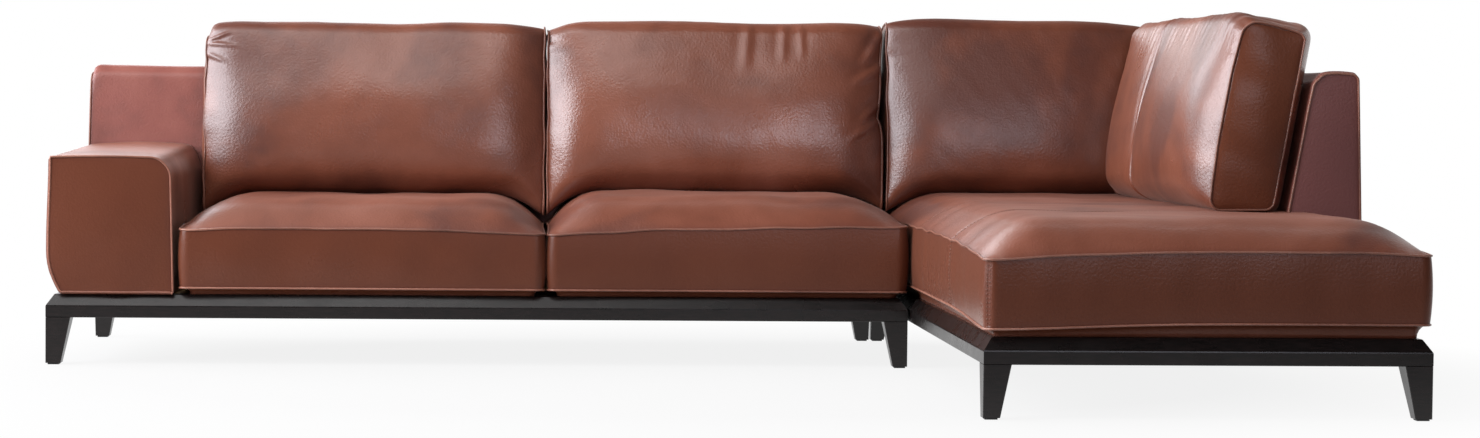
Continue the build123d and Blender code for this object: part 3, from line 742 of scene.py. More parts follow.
@dataclass(frozen=True)
class Lacquer:
    """Beech, stained black-brown and lacquered to a satin shine: fine straight grain shows through."""

    name: str = "stained_lacquered_beech"
    dark: str = "#0c0807"
    light: str = "#1a1211"
    # Growth lines of beech are about 1.5 mm apart, drawn at 4 mm so that they show
    grain: float = 0.004
    # Width of the patches where the lacquer is rubbed more or less
    patch: float = 0.08

    def material(self) -> Material:
        """Make the finish's nodes.

        Returns:
            The finish as a material.
        """
        made, tree = new_material(self.name)
        place = add(tree, "ShaderNodeTexCoord", {}).outputs["Object"]
        stretched = add(tree, "ShaderNodeMapping", {"Vector": place, "Scale": (0.12, 0.12, 1.0)})
        lines = add(tree, "ShaderNodeTexNoise", {
            "Vector": stretched.outputs["Vector"], "Scale": 1 / self.grain, "Detail": 3.0,
            "Roughness": 0.6})
        tone = add(tree, "ShaderNodeValToRGB", {"Fac": lines.outputs["Fac"]})
        set_ramp(tone, [(0.35, self.dark), (0.65, self.light)])
        patches = add(tree, "ShaderNodeTexNoise", {
            "Vector": place, "Scale": 1 / self.patch, "Detail": 3.0})
        gloss = add(tree, "ShaderNodeMapRange", {
            "Value": patches.outputs["Fac"], "To Min": 0.20, "To Max": 0.36})
        bump = add(tree, "ShaderNodeBump", {
            "Height": lines.outputs["Fac"], "Strength": 0.15, "Distance": 0.0003})
        shader = add(tree, "ShaderNodeBsdfPrincipled", {
            "Base Color": tone.outputs["Color"], "Roughness": gloss.outputs["Result"],
            "Normal": bump.outputs["Normal"], "IOR": 1.5, "Specular IOR Level": 0.42})
        add(tree, "ShaderNodeOutputMaterial", {"Surface": shader.outputs["BSDF"]})
        return made


@dataclass(frozen=True)
class Plain:
    """A small or hidden material: two tones in a fine pattern, with a little relief."""

    name: str
    dark: str
    light: str
    pattern: float
    roughness: Pair
    metallic: float = 0.0
    stretch: Triple = (1.0, 1.0, 1.0)

    def material(self) -> Material:
        """Make the finish's nodes.

        Returns:
            The finish as a material.
        """
        made, tree = new_material(self.name)
        place = add(tree, "ShaderNodeTexCoord", {}).outputs["Object"]
        laid = add(tree, "ShaderNodeMapping", {"Vector": place, "Scale": self.stretch})
        mix = add(tree, "ShaderNodeTexNoise", {
            "Vector": laid.outputs["Vector"], "Scale": 1 / self.pattern, "Detail": 4.0,
            "Roughness": 0.6})
        tone = add(tree, "ShaderNodeValToRGB", {"Fac": mix.outputs["Fac"]})
        set_ramp(tone, [(0.35, self.dark), (0.65, self.light)])
        gloss = add(tree, "ShaderNodeMapRange", {
            "Value": mix.outputs["Fac"], "To Min": self.roughness[0], "To Max": self.roughness[1]})
        bump = add(tree, "ShaderNodeBump", {
            "Height": mix.outputs["Fac"], "Strength": 0.2, "Distance": 0.0004})
        shader = add(tree, "ShaderNodeBsdfPrincipled", {
            "Base Color": tone.outputs["Color"], "Roughness": gloss.outputs["Result"],
            "Normal": bump.outputs["Normal"], "Metallic": self.metallic})
        add(tree, "ShaderNodeOutputMaterial", {"Surface": shader.outputs["BSDF"]})
        return made


@dataclass
class Finishes:
    """Every finish of the sofa, made once."""

    # Each boxing colour below is darker than its hide: partly the panels' own tone, partly painted shade
    # on upright faces and end panels
    cushion: Material = field(default_factory=Leather(
        "waxed_cowhide_cushions", "#5d3124", "#77422f", "#824c39", "#8f5947", "#6d3c27",
        polish=0.8, roughness=(0.22, 0.36)).material)
    seat: Material = field(default_factory=Leather(
        "waxed_cowhide_seats", "#603327", "#7a4432", "#854e3c", "#915b4b", "#5d3120",
        boxing_share=0.85).material)
    # The backs' hide is lighter and pinker than the seats': partly its own tone, partly painted light for
    # raked faces that catch more light from above
    back: Material = field(default_factory=Leather(
        "waxed_cowhide_backs", "#6f3f37", "#864c42", "#8f554a", "#9a6054", "#784b48",
        boxing_share=0.9, roughness=(0.36, 0.48)).material)
    # The piping's hide is lighter than the covers': a painted highlight along its rounded top
    welt: Material = field(default_factory=Leather(
        "cowhide_piping_painted_highlight", "#62392b", "#80503f", "#905d4b", "#a2705e", "#80503f",
        mottle=0.02).material)
    lacquer: Material = field(default_factory=Lacquer().material)
    # Bonded nylon thread: twisted, a little lighter than the hide, with a dull shine
    thread: Material = field(default_factory=Plain(
        "bonded_nylon_thread", "#5f3a2b", "#8a5d48", 0.0012, (0.4, 0.6)).material)
    # Moulded black nylon: fine matt texture
    nylon: Material = field(default_factory=Plain(
        "moulded_nylon", "#121212", "#1d1d1e", 0.0015, (0.45, 0.6)).material)
    # Bright zinc plate on pressed steel: grey with faint bluish clouds
    zinc: Material = field(default_factory=Plain(
        "zinc_plated_steel", "#9a9da1", "#b9bcc0", 0.006, (0.25, 0.4), 1.0).material)
    # Spun-bonded black dust cloth: matt, with fibres that show as specks
    cloth: Material = field(default_factory=Plain(
        "spun_bonded_dust_cloth", "#0e0e0f", "#1c1c1e", 0.003, (0.85, 0.95)).material)
    # Planed pine: long pale grain
    pine: Material = field(default_factory=Plain(
        "planed_pine", "#b08a5c", "#cfae7f", 0.006, (0.55, 0.7), 0.0, (0.1, 0.1, 1.0)).material)


def dress(piece: Piece, body: str, material: Material) -> None:
    """Give a piece its material and the body that it moves with.

    Args:
        piece: The piece.
        body: The body that it rides on.
        material: Its finish.
    """
    piece.data.materials.clear()
    piece.data.materials.append(material)
    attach(piece, body)


# Sub-assemblies


@dataclass
class Padding:
    """What every padded leather piece shares."""

    name: str
    body: str
    finishes: Finishes
    material: Material
    fill: float
    seed: int
    # Radius of the piping, and how far its middle stands off the seam
    welt_radius: float = 0.0028
    welt_stand: float = 0.0010
    # How far the painted shade of a seam reaches
    seam_reach: float = 0.010
    stitch_pitch: float = 0.009
    stitch_length: float = 0.0062
    stitch_radius: float = 0.0009
    stitch_stand: float = 0.0003
    # How dull the level top is, and the upward lean of the hide from which it starts
    dullness: float = 0.9
    dull_from: float = 0.55

    def cover(self, piece: Piece, seams: Array, nodes: list[str]) -> None:
        """Finish a cover: mark its seams and its dull top, dress it and let it replace its solids.

        Args:
            piece: The cover.
            seams: Points along its seams.
            nodes: The solids that it stands for.
        """
        distance = nearest(points_of(piece.data), seams)
        # The seam field drives the painted shade beside each seam
        set_field(piece.data, "seam", bell(distance, 1.0, self.seam_reach))
        level = smooth(self.dull_from, 0.5 + 0.5 * self.dull_from, normals_of(piece.data)[:, 2])
        set_field(piece.data, "dull", self.dullness * level)
        dress(piece, self.body, self.material)
        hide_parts(*nodes)
        log.info("%s: %d faces", piece.name, len(piece.data.polygons))

    def pipe(self, loops: list[tuple[Array, Array]]) -> None:
        """Sew piping along closed seams.

        Args:
            loops: Points of each seam, with the direction that its piping's section holds.
        """
        points, faces = joined([tube(path, lift, self.welt_radius) for path, lift in loops])
        piping = make_object(f"{self.name}_piping", points, faces)
        zeros = np.zeros(len(points))
        set_field(piping.data, "seam", zeros)
        set_field(piping.data, "boxing", zeros)
        dress(piping, self.body, self.finishes.welt)
        log.info("%s: %d faces", piping.name, len(faces))

    def stitch(self, rows: list[tuple[Array, Array]]) -> None:
        """Lay rows of stitches.

        Args:
            rows: Points of each row, with the outward directions there.
        """
        size = (self.stitch_pitch, self.stitch_length, self.stitch_radius)
        made = [stitch_row(path + self.stitch_stand * away, away, *size) for path, away in rows]
        points, faces = joined(made)
        thread = make_object(f"{self.name}_stitching", points, faces)
        dress(thread, self.body, self.finishes.thread)
        log.info("%s: %d faces", thread.name, len(faces))


@dataclass
class Seat(Padding):
    """A fixed seat: crowned top, piped boxing all round, and a belly that tucks in to the plinth."""

    rolls: dict[Side, float] = field(default_factory=dict)
    # Cross seams on the top by their y, and upright seams in the boxing by their place in plan
    seams: list[float] = field(default_factory=list)
    posts: list[Pair] = field(default_factory=list)
    # Where the cut-out for the side back starts, as shares of the width and the depth
    notch: Pair | None = None
    # How far the top seam stands off its level at the left and at the right
    tilt: Pair = (0.0, 0.0)
    # How far the top seam dips at the front left corner, and how far that reaches
    corner_dip: float = 0.0
    dip_reach: float = 0.35
    # How far the lower seam rises away from that corner, and over which distance
    low_lift: float = 0.0
    lift_reach: float = 0.30
    # How far the crown has settled with use
    sink: float = 0.0
    inset: float = 0.0022
    corner: float = 0.026
    rear_corner: float = 0.004
    # How far the sides are drawn in along their middles
    draw: float = 0.005
    # Height and depth of the belly below the boxing, and its corner radius as a share of the corner
    tuck: float = 0.018
    tuck_inset: float = 0.024
    tuck_corner: float = 0.7
    boxing: float = 0.153
    puff: float = 0.006
    stitch_gap: float = 0.0055
    welt_stand: float = 0.0012
    # Height and length of the waves: broad and fine ones on the top, along its seam, and in the boxing
    broad: Pair = (0.0012, 0.35)
    fine: Pair = (0.0005, 0.07)
    wander: Pair = (0.0016, 0.22)
    ripple: Pair = (0.0012, 0.12)
    # Depth and reach of the valleys along a cross seam and along an upright one
    seam_valleys: tuple[Pair, ...] = ((0.0035, 0.006), (0.0028, 0.05))
    post_valleys: tuple[Pair, ...] = ((0.0035, 0.006), (0.0025, 0.03))
    # Share of a cross seam's depth that is left at the rim of the top
    rim_dip: float = 0.35
    # Fine and coarse spacing and the reach of the fine one: on the top, and in shares down the boxing
    spacing: Triple = (0.005, 0.014, 0.045)
    drop_spacing: Triple = (0.03, 0.10, 0.12)

    def seam_level(self, x: Array, y: Array) -> Array:
        """Return the height of the top seam: a line from left to right, less a bell at one corner.

        Args:
            x: Places from left to right.
            y: Places from front to back.

        Returns:
            One height for each place.
        """
        low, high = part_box(f"{self.name}_cover")
        share = np.clip((x - low.x) / (high.x - low.x), 0.0, 1.0)
        level = low.z + self.tuck + self.boxing + self.tilt[0] + (self.tilt[1] - self.tilt[0]) * share
        square = (x - low.x) ** 2 + (y - low.y) ** 2
        return level - self.corner_dip * np.exp(-(square / self.dip_reach**2))

    def surface(self, x: Array, y: Array) -> Array:
        """Return the height of the top: the seam level, and from there a roll up to the seat's plane.

        Args:
            x: Places from left to right.
            y: Places from front to back.

        Returns:
            One height for each place.
        """
        low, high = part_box(f"{self.name}_cover")
        share = np.ones(np.broadcast(x, y).shape)
        distances = {
            Side.BOTTOM: y - low.y, Side.RIGHT: high.x - x, Side.TOP: high.y - y, Side.LEFT: x - low.x}
        for side, roll in self.rolls.items():
            share = share * rolled(distances[side], roll)
        level = self.seam_level(x, y)
        return level + (high.z - self.sink - level) * share

    def grid(self, inset: float, us: Array, vs: Array, radius: float) -> Array:
        """Return the plan of the seat on a grid.

        Args:
            inset: How far the sides are moved in from the solid's.
            us: Shares of the width.
            vs: Shares of the depth.
            radius: Radius of the front corners.

        Returns:
            Points in plan, one for each pair of shares.
        """
        low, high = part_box(f"{self.name}_cover")
        x0, x1, y0, y1 = low.x + inset, high.x - inset, low.y + inset, high.y - inset
        run = np.clip(vs / (self.notch[1] if self.notch else 1.0), 0.0, 1.0)
        draws = {Side.BOTTOM: bow(us, self.draw), Side.RIGHT: bow(run, self.draw)}
        if Side.LEFT in self.rolls:
            draws[Side.LEFT] = bow(vs, self.draw)
        corners = [(x0, y0), (x1, y0), (x1, y1), (x0, y1)]
        return panel(corners, us, vs, [radius, radius, self.rear_corner, self.rear_corner], draws)

    def build(self) -> None:
        """Make the cover, its piping and its stitched seams."""
        low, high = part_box(f"{self.name}_cover")
        width, depth = high.x - low.x, high.y - low.y
        seams = [place - low.y for place in self.seams]
        xs = self.stations(width, [0.0, width], self.notch[0] * width if self.notch else None)
        ys = self.stations(depth, [0.0, depth, *seams], self.notch[1] * depth if self.notch else None)
        us, vs = xs / width, ys / depth
        top = self.crowned(self.grid(self.inset, us, vs, self.corner))
        turns, keep = self.cut_out(us, vs)
        loop = rim(top.shape[:2], turns)
        edge = top.reshape(-1, 3)[loop]
        ahead = np.roll(edge, -1, 0) - np.roll(edge, 1, 0)
        outward = unit(np.stack([ahead[:, 1], -ahead[:, 0], np.zeros(len(edge))], axis=-1))
        boxed = self.boxed_rows(edge, outward)
        inner = self.grid(self.inset + self.tuck_inset, us, vs, self.corner * self.tuck_corner)
        base = np.dstack([inner, np.full(inner.shape[:2], low.z + REST_GAP)])
        belly = self.belly_rows(boxed[-1], base.reshape(-1, 3)[loop])
        shell = sew(top, np.array(boxed + belly), base, turns, keep)
        piece = make_object(self.name, shell.vertices, shell.faces)
        # The band below the top seam takes the darker boxing tint: painted shade on the upright sides,
        # partly their own tone
        boxing = shell.band.astype(float)
        boxing[shell.front_rim] = RIM_TINT
        set_field(piece.data, "boxing", boxing)
        self.pipe([(seam + outward * self.welt_stand, outward) for seam in (edge, boxed[-1])])
        walls = np.array([edge, *boxed])
        rows = self.seam_rows(top, ys, seams, keep) + self.post_rows(walls, outward)
        if rows:
            self.stitch(rows)
        lines = [edge, boxed[-1]] + [top[:, np.argmin(abs(ys - seam))] for seam in seams]
        lines += [walls[:, self.post_column(edge, post)] for post in self.posts]
        nodes = [f"{self.name}_{part}" for part in ("cover", "foam", "webbing")]
        self.cover(piece, np.vstack(lines), nodes)

    def stations(self, length: float, focus: list[float], exact: float | None) -> Array:
        """Return grid stations along a side.

        Args:
            length: The whole length.
            focus: Places where the stations crowd.
            exact: A place where one of them has to be, if any.

        Returns:
            The stations, from 0 to the length.
        """
        if exact is None:
            return graded(length, focus, *self.spacing)
        before = graded(exact, [*focus, exact], *self.spacing)
        after = graded(length - exact, [place - exact for place in focus], *self.spacing)
        return np.concatenate([before, exact + after[1:]])

    def crowned(self, plan: Array) -> Array:
        """Return the top: its surface, with broad waves, fine ones on the rolls, and drawn-in seams.

        Args:
            plan: The plan of the seat on a grid.

        Returns:
            Points of the top, on the same grid.
        """
        x, y = plan[..., 0], plan[..., 1]
        level = self.seam_level(x, y)
        rise = self.surface(x, y) - level
        full = rise / max(float(rise.max()), 1e-6)
        slope = np.sqrt(np.clip(full * (1 - full), 0, 1))
        rise = rise + self.broad[0] * full * (waves(plan, self.broad[1], self.seed) - 1.0)
        rise = rise + self.fine[0] * slope * waves(plan, self.fine[1], self.seed + 1)
        rise = rise - self.seam_dip(y) * (self.rim_dip + (1 - self.rim_dip) * full)
        level = level + self.wander[0] * waves(plan, self.wander[1], self.seed + 4)
        return np.dstack([x, y, level + rise])

    def seam_dip(self, y: Array) -> Array:
        """Return how deep the top is drawn in at its cross seams: a narrow valley in a wide one.

        Args:
            y: Places from front to back.

        Returns:
            One depth for each place.
        """
        dip = np.zeros(y.shape)
        for seam in self.seams:
            for valley in self.seam_valleys:
                dip = dip + bell(y - seam, *valley)
        return dip

    def cut_out(self, us: Array, vs: Array) -> tuple[list[tuple[int, int]] | None, Array | None]:
        """Return how the grid leaves out the corner where the side back stands.

        Args:
            us: Shares of the width.
            vs: Shares of the depth.

        Returns:
            The turning points of the rim and the cells in use, or None twice for a whole seat.
        """
        if not self.notch:
            return None, None
        nu, nv = len(us) - 1, len(vs) - 1
        i, j = (int(np.argmin(abs(shares - at))) for shares, at in zip((us, vs), self.notch))
        keep = np.ones((nu, nv), bool)
        keep[i:, j:] = False
        return [(0, 0), (nu, 0), (nu, j), (i, j), (i, nv), (0, nv)], keep

    def boxed_rows(self, edge: Array, outward: Array) -> list[Array]:
        """Return the boxing as rows from seam to seam: upright, with a puff of half a sine wave.

        Args:
            edge: Points of the top seam.
            outward: Outward direction at each of them.

        Returns:
            The rows below the top seam, down to the lower one.
        """
        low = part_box(f"{self.name}_cover")[0]
        square = ((edge[:, :2] - [low.x, low.y]) ** 2).sum(1)
        foot_level = low.z + self.tuck + self.low_lift * (1 - np.exp(-(square / self.lift_reach**2)))
        groove = np.zeros(len(edge))
        for post in self.posts:
            away = np.linalg.norm(edge[:, :2] - post, axis=1)
            groove += sum(bell(away, *valley) for valley in self.post_valleys)
        ripple = self.ripple[0] * waves(edge, self.ripple[1], self.seed + 2)
        rows = []
        for share in graded(1.0, [0.0, 1.0], *self.drop_spacing)[1:]:
            bulge = math.sin(math.pi * share)
            push = self.puff * bulge**0.8 + ripple * bulge - groove * bulge**0.3
            level = edge[:, 2:] + (foot_level[:, None] - edge[:, 2:]) * share
            rows.append(edge * [1, 1, 0] + level * [0, 0, 1] + outward * push[:, None])
        return rows

    @staticmethod
    def belly_rows(start: Array, foot: Array) -> list[Array]:
        """Return the belly as rows between the lower seam and the base: a quarter of an ellipse.

        Args:
            start: Points of the lower seam.
            foot: Points of the base's rim.

        Returns:
            The rows between them.
        """
        rows = []
        for angle in np.radians([18, 36, 54, 72]):
            inward = start + (foot - start) * math.sin(angle)
            fall = start[:, 2:] + (foot[:, 2:] - start[:, 2:]) * (1 - math.cos(angle))
            rows.append(inward * [1, 1, 0] + fall * [0, 0, 1])
        return rows

    def seam_rows(self, top: Array, ys: Array, seams: list[float],
                  keep: Array | None) -> list[tuple[Array, Array]]:
        """Return two rows of stitch points beside each cross seam.

        Args:
            top: Points of the top on its grid.
            ys: The grid's stations from front to back.
            seams: The seams' places among them.
            keep: Which cells of the grid are used. All if None.

        Returns:
            Points of each row, with the outward directions there.
        """
        rows = []
        normal = unit(np.cross(np.gradient(top, axis=0), np.gradient(top, axis=1)))
        for seam in seams:
            for side in (-self.stitch_gap, self.stitch_gap):
                j = int(np.argmin(abs(ys - seam - side)))
                used = top.shape[0] if keep is None else int(keep[:, min(j, keep.shape[1] - 1)].sum())
                rows.append((top[2:used - 2, j], normal[2:used - 2, j]))
        return rows

    @staticmethod
    def post_column(edge: Array, post: Pair) -> int:
        """Return which point of the top seam is nearest to an upright seam."""
        return int(np.argmin(np.linalg.norm(edge[:, :2] - post, axis=1)))

    def post_rows(self, walls: Array, outward: Array) -> list[tuple[Array, Array]]:
        """Return two rows of stitch points beside each upright seam of the boxing.

        Args:
            walls: Rows of the boxing from the top seam down.
            outward: Outward direction at each point of a row.

        Returns:
            Points of each row, with the outward directions there.
        """
        rows = []
        for post in self.posts:
            i = self.post_column(walls[0], post)
            for step in (-1, 1):
                k = (i + step) % walls.shape[1]
                rows.append((walls[:, k], np.repeat(outward[k][None], len(walls), axis=0)))
        return rows


@dataclass
class Carried(Padding):
    """A padded piece whose end panel is carried along a straight axis: cushion, arm or back."""

    origin: Triple = (0.0, 0.0, 0.0)
    axis: Triple = (1.0, 0.0, 0.0)
    across: Triple = (0.0, -1.0, 0.0)
    upward: Triple = (0.0, 0.0, 1.0)

    def place(self, u: Array, p: Array, q: Array) -> Array:
        """Return points of the frame from places in the piece's own axes.

        Args:
            u: Run along the axis.
            p: Depth.
            q: Height.

        Returns:
            One point for each place.
        """
        base = np.array(self.origin)
        run, deep, rise = np.array(self.axis), np.array(self.across), np.array(self.upward)
        return base + u[..., None] * run + p[..., None] * deep + q[..., None] * rise

    def own(self, points: Array) -> tuple[Array, Array, Array]:
        """Return run, depth and height of points in the piece's own axes."""
        away = points - np.array(self.origin)
        return away @ np.array(self.axis), away @ np.array(self.across), away @ np.array(self.upward)

    @staticmethod
    def outward(edge: Array) -> Array:
        """Return the outward direction at each point of a flat rim."""
        ahead = np.roll(edge, -1, 0) - np.roll(edge, 1, 0)
        return unit(np.stack([ahead[:, 1], -ahead[:, 0]], axis=-1))


@dataclass(frozen=True)
class Kink:
    """A place where an end seam is pulled inwards: how high, how far, and its reach up and down."""

    at_end: bool
    height: float
    pull: float
    above: float
    below: float

    def shift(self, q: Array) -> Array:
        """Return the pull at heights: two falling exponentials that meet in a point."""
        away = q - self.height
        return self.pull * np.exp(-np.where(away > 0, away / self.above, -away / self.below))


@dataclass(frozen=True)
class Fold:
    """A soft ridge between two valleys, from one place on a cushion's front to another."""

    start: Pair
    end: Pair
    width: float = 0.010
    rise: float = 0.003

    def shift(self, u: Array, q: Array) -> Array:
        """Return the ridge: a bell less its own curvature across it, faded out along it.

        Args:
            u: Run along the cushion.
            q: Height on its front.

        Returns:
            How far the leather rises at each place.
        """
        du, dq = self.end[0] - self.start[0], self.end[1] - self.start[1]
        length = math.hypot(du, dq)
        along = ((u - self.start[0]) * du + (q - self.start[1]) * dq) / length**2
        aside = ((u - self.start[0]) * dq - (q - self.start[1]) * du) / length / self.width
        fade = smooth(-0.2, 0.1, along) * (1.0 - smooth(0.5, 1.1, along))
        return self.rise * (1.0 - 2.0 * aside**2) * np.exp(-(aside**2)) * fade


@dataclass
class Cushion(Carried):
    """A loose back cushion: piped end gussets, and one hide wrapped over its front, top and back."""

    length: float = 0.93
    height: float = 0.438
    # The gusset runs from the rear seam to the front seam, measured from the back that it leans on
    rear: float = 0.036
    front: float = 0.187
    # Radii of the gusset's corners from the foot of its rear round to its top, and its bows
    radii: Quad = (0.018, 0.028, 0.030, 0.016)
    front_bow: float = 0.010
    top_bow: float = 0.005
    rear_drop: float = 0.006
    crown: float = 0.046
    crown_power: float = 2.8
    rolls: Pair = (0.17, 0.17)
    back_roll: float = 0.10
    # Share of the crown that rises steeply behind an end seam, and over which run
    steep_share: float = 0.14
    steep_run: float = 0.012
    top_puff: float = 0.006
    # How far each end's upper corner is rounded down, over which run, and how far its gusset bulges
    corner_drops: Pair = (0.020, 0.010)
    corner_runs: Pair = (0.08, 0.03)
    end_puffs: Pair = (0.003, 0.003)
    puff_power: float = 0.6
    # How far the last gusset is squeezed out close under its top, towards the next cushion, and the
    # shares of the height where that starts, is full, fades and ends
    squeeze: float = 0.0
    squeeze_band: Quad = (0.66, 0.80, 0.93, 1.0)
    end_slant: float = 0.0
    # How far the end seams wander, over which length, and how far in that fades
    wander: float = 0.0020
    wander_length: float = 0.11
    wander_fade: float = 0.018
    kink_fade: float = 0.05
    seats: list[Seat] = field(default_factory=list)
    # Cross seams by their run, and the depth and reach of the valleys along them
    seams: list[float] = field(default_factory=list)
    seam_valleys: tuple[Pair, ...] = ((0.10, 0.008), (0.10, 0.05))
    groove: Pair = (0.0045, 0.0035)
    lip: Pair = (0.0030, 0.007)
    lip_gap: float = 0.011
    kinks: list[Kink] = field(default_factory=list)
    folds: list[Fold] = field(default_factory=list)
    # Height and length of the dents, the fine ripples, the puckers at the seams and the top's wrinkles
    dents: Pair = (0.0022, 0.30)
    ripples: Pair = (0.0002, 0.06)
    puckers: Pair = (0.0016, 0.045)
    pucker_fade: float = 0.035
    top_wrinkle: float = 0.0
    wrinkle_length: float = 0.026
    # The filling, and what it leaves in place: the back, the foot and the leather beside a cross seam
    pressure: float = 3.0
    slack: float = 0.006
    cap: float = 0.016
    held_back: float = 0.012
    held_foot: float = 0.010
    held_seam: float = 0.006
    # Share of the filling's moves that is taken off towards the top
    calm: float = 0.75
    # Fine and coarse spacing and the reach of the fine one: across the gusset, up it and along the run
    deep_spacing: Triple = (0.010, 0.022, 0.03)
    tall_spacing: Triple = (0.010, 0.022, 0.05)
    run_spacing: Triple = (0.007, 0.024, 0.05)

    def build(self) -> None:
        """Make the cover and its piping."""
        deep = self.front - self.rear
        ps = graded(deep, [0.0, deep], *self.deep_spacing) / deep
        qs = graded(self.height, [0.0, self.height], *self.tall_spacing) / self.height
        gusset = self.gusset(ps, qs)
        edge = gusset.reshape(-1, 2)[rim(gusset.shape[:2])]
        stations = graded(self.length, [0.0, self.length, *self.seams], *self.run_spacing)[1:-1]
        flat = self.wrapped(edge, stations)
        run = stations[:, None] + 0.0 * flat[..., 0]
        rows = self.place(self.slanted(run, flat[..., 1]), flat[..., 0], self.rounded(run, flat[..., 1]))
        ends = []
        for start, push in zip((0.0, self.length), self.bulges(ps, qs)):
            u = start + push
            rise = self.rounded(start + 0.0 * u, gusset[..., 1])
            ends.append(self.place(self.slanted(u, gusset[..., 1]), gusset[..., 0], rise))
        shell = sew(ends[0], rows, ends[1])
        shell.vertices = self.settled(self.puckered(shell.vertices))
        piece = make_object(self.name, shell.vertices, shell.faces)
        # The end gussets take the darker boxing tint: partly their own tone, partly painted shade
        boxing = (~shell.band).astype(float)
        boxing[shell.rims()] = RIM_TINT
        set_field(piece.data, "boxing", boxing)
        self.filled(piece, shell)
        subdivide(piece, 2)
        self.crease(piece)
        axis = np.array(self.axis)
        first, last = shell.vertices[shell.front_rim], shell.vertices[shell.rear_rim]
        self.pipe([(first - axis * self.welt_stand, axis), (last + axis * self.welt_stand, axis)])
        self.cover(piece, shell.rim_points(), [f"{self.name}_cover", f"{self.name}_core"])

    def gusset(self, ps: Array, qs: Array) -> Array:
        """Return the end panel: level where it stands, and bowed at its front and top.

        Args:
            ps: Shares of the depth.
            qs: Shares of the height.

        Returns:
            A grid of depth and height.
        """
        foot = REST_GAP + LOOSE_GAP
        corners = [
            (self.rear, foot - self.rear * RAKE_TAN),
            (self.front, foot - self.front * RAKE_TAN),
            (self.front, self.height),
            (self.rear, self.height - self.rear_drop),
        ]
        draws = {Side.RIGHT: bow(qs, -self.front_bow), Side.TOP: bow(ps, -self.top_bow)}
        return panel(corners, ps, qs, list(self.radii), draws)

    def bulges(self, ps: Array, qs: Array) -> tuple[Array, Array]:
        """Return how far the gussets are pushed along the axis: a dome, and the squeeze of the last one.

        Args:
            ps: Shares of the depth.
            qs: Shares of the height.

        Returns:
            The push of the first gusset and of the last one, on their grid.
        """
        bulge = dome(ps, qs, self.puff_power)
        start, full, fade, end = self.squeeze_band
        upper = smooth(start, full, qs) - smooth(fade, end, qs)
        squeezed = self.squeeze * np.sin(math.pi * ps)[:, None] ** self.puff_power * upper[None]
        return -self.end_puffs[0] * bulge, self.end_puffs[1] * bulge + squeezed

    def wrapped(self, edge: Array, stations: Array) -> Array:
        """Return the hide's sections: the gusset's rim, swollen along its outward direction.

        The front swells most at a third of its height, the back as far as the rear seam stands off,
        the top a little. Each fades to nothing at the ends as a falling power, with a steeper
        exponential dip close to the seam.

        Args:
            edge: Depth and height round the gusset.
            stations: Runs along the cushion.

        Returns:
            Depth and height round the hide at each station.
        """
        normal = self.outward(edge)
        low = edge[:, 1] + edge[:, 0] * RAKE_TAN
        share = np.clip(low / self.height, 0.0, 1.0)
        crown = self.crown * (0.6 + 0.4 * np.sin(math.pi * share**0.6) ** 0.9)
        front = np.maximum(normal[:, 0], 0.0) * crown
        top = np.maximum(normal[:, 1], 0.0) * self.top_puff
        back = np.maximum(-normal[:, 0], 0.0) * (self.rear - 0.002)
        end = np.minimum(stations, self.length - stations)
        near = np.minimum(stations / self.rolls[0], (self.length - stations) / self.rolls[1])
        full = 1.0 - (1.0 - np.clip(near, 0.0, 1.0)) ** self.crown_power
        steep = 1.0 - np.exp(-end / self.steep_run)
        full = (1.0 - self.steep_share) * full + self.steep_share * steep
        for seam in self.seams:
            for valley in self.seam_valleys:
                full = full - bell(stations - seam, *valley)
        swell = (front + top) * smooth(0.0, 0.045, low)
        grown = full[:, None] * swell[None] + rolled(end, self.back_roll)[:, None] * back[None]
        return edge[None] + grown[..., None] * normal[None]

    def rounded(self, u: Array, q: Array) -> Array:
        """Return heights whose upper corners are rounded down towards both ends, by falling powers.

        Args:
            u: Runs along the cushion.
            q: Heights before that.

        Returns:
            The new heights.
        """
        upper = smooth(0.55 * self.height, self.height, q)
        first = (1.0 - np.clip(u / self.corner_runs[0], 0.0, 1.0)) ** CROWN_POWER
        last = (1.0 - np.clip((self.length - u) / self.corner_runs[1], 0.0, 1.0)) ** CROWN_POWER
        return q - upper * (self.corner_drops[0] * first + self.corner_drops[1] * last)

    def slanted(self, run: Array, rise: Array) -> Array:
        """Return runs whose start leans away with height, where the first end is cut on a slant."""
        start = -self.end_slant * rise
        return start + run * (self.length - start) / self.length

    def puckered(self, points: Array) -> Array:
        """Return points whose end seams wander along the axis, and are pulled in at the kinks.

        Both fade inwards from the ends as falling exponentials.

        Args:
            points: The points before that.

        Returns:
            The moved points.
        """
        u, p, q = self.own(points)
        section = np.stack([p, q], axis=-1)
        shift = np.zeros(len(points))
        for at_end, away, seed in ((False, u, self.seed + 5), (True, self.length - u, self.seed + 7)):
            sign = -1.0 if at_end else 1.0
            inside = np.maximum(away, 0.0)
            drift = self.wander * waves(section, self.wander_length, seed, 6)
            shift = shift + sign * drift * np.exp(-inside / self.wander_fade)
            for kink in self.kinks:
                if kink.at_end is at_end:
                    pull = kink.shift(q) * smooth(0.0, 0.05, p - self.rear)
                    shift = shift + sign * pull * np.exp(-inside / self.kink_fade)
        return points + shift[:, None] * np.array(self.axis)

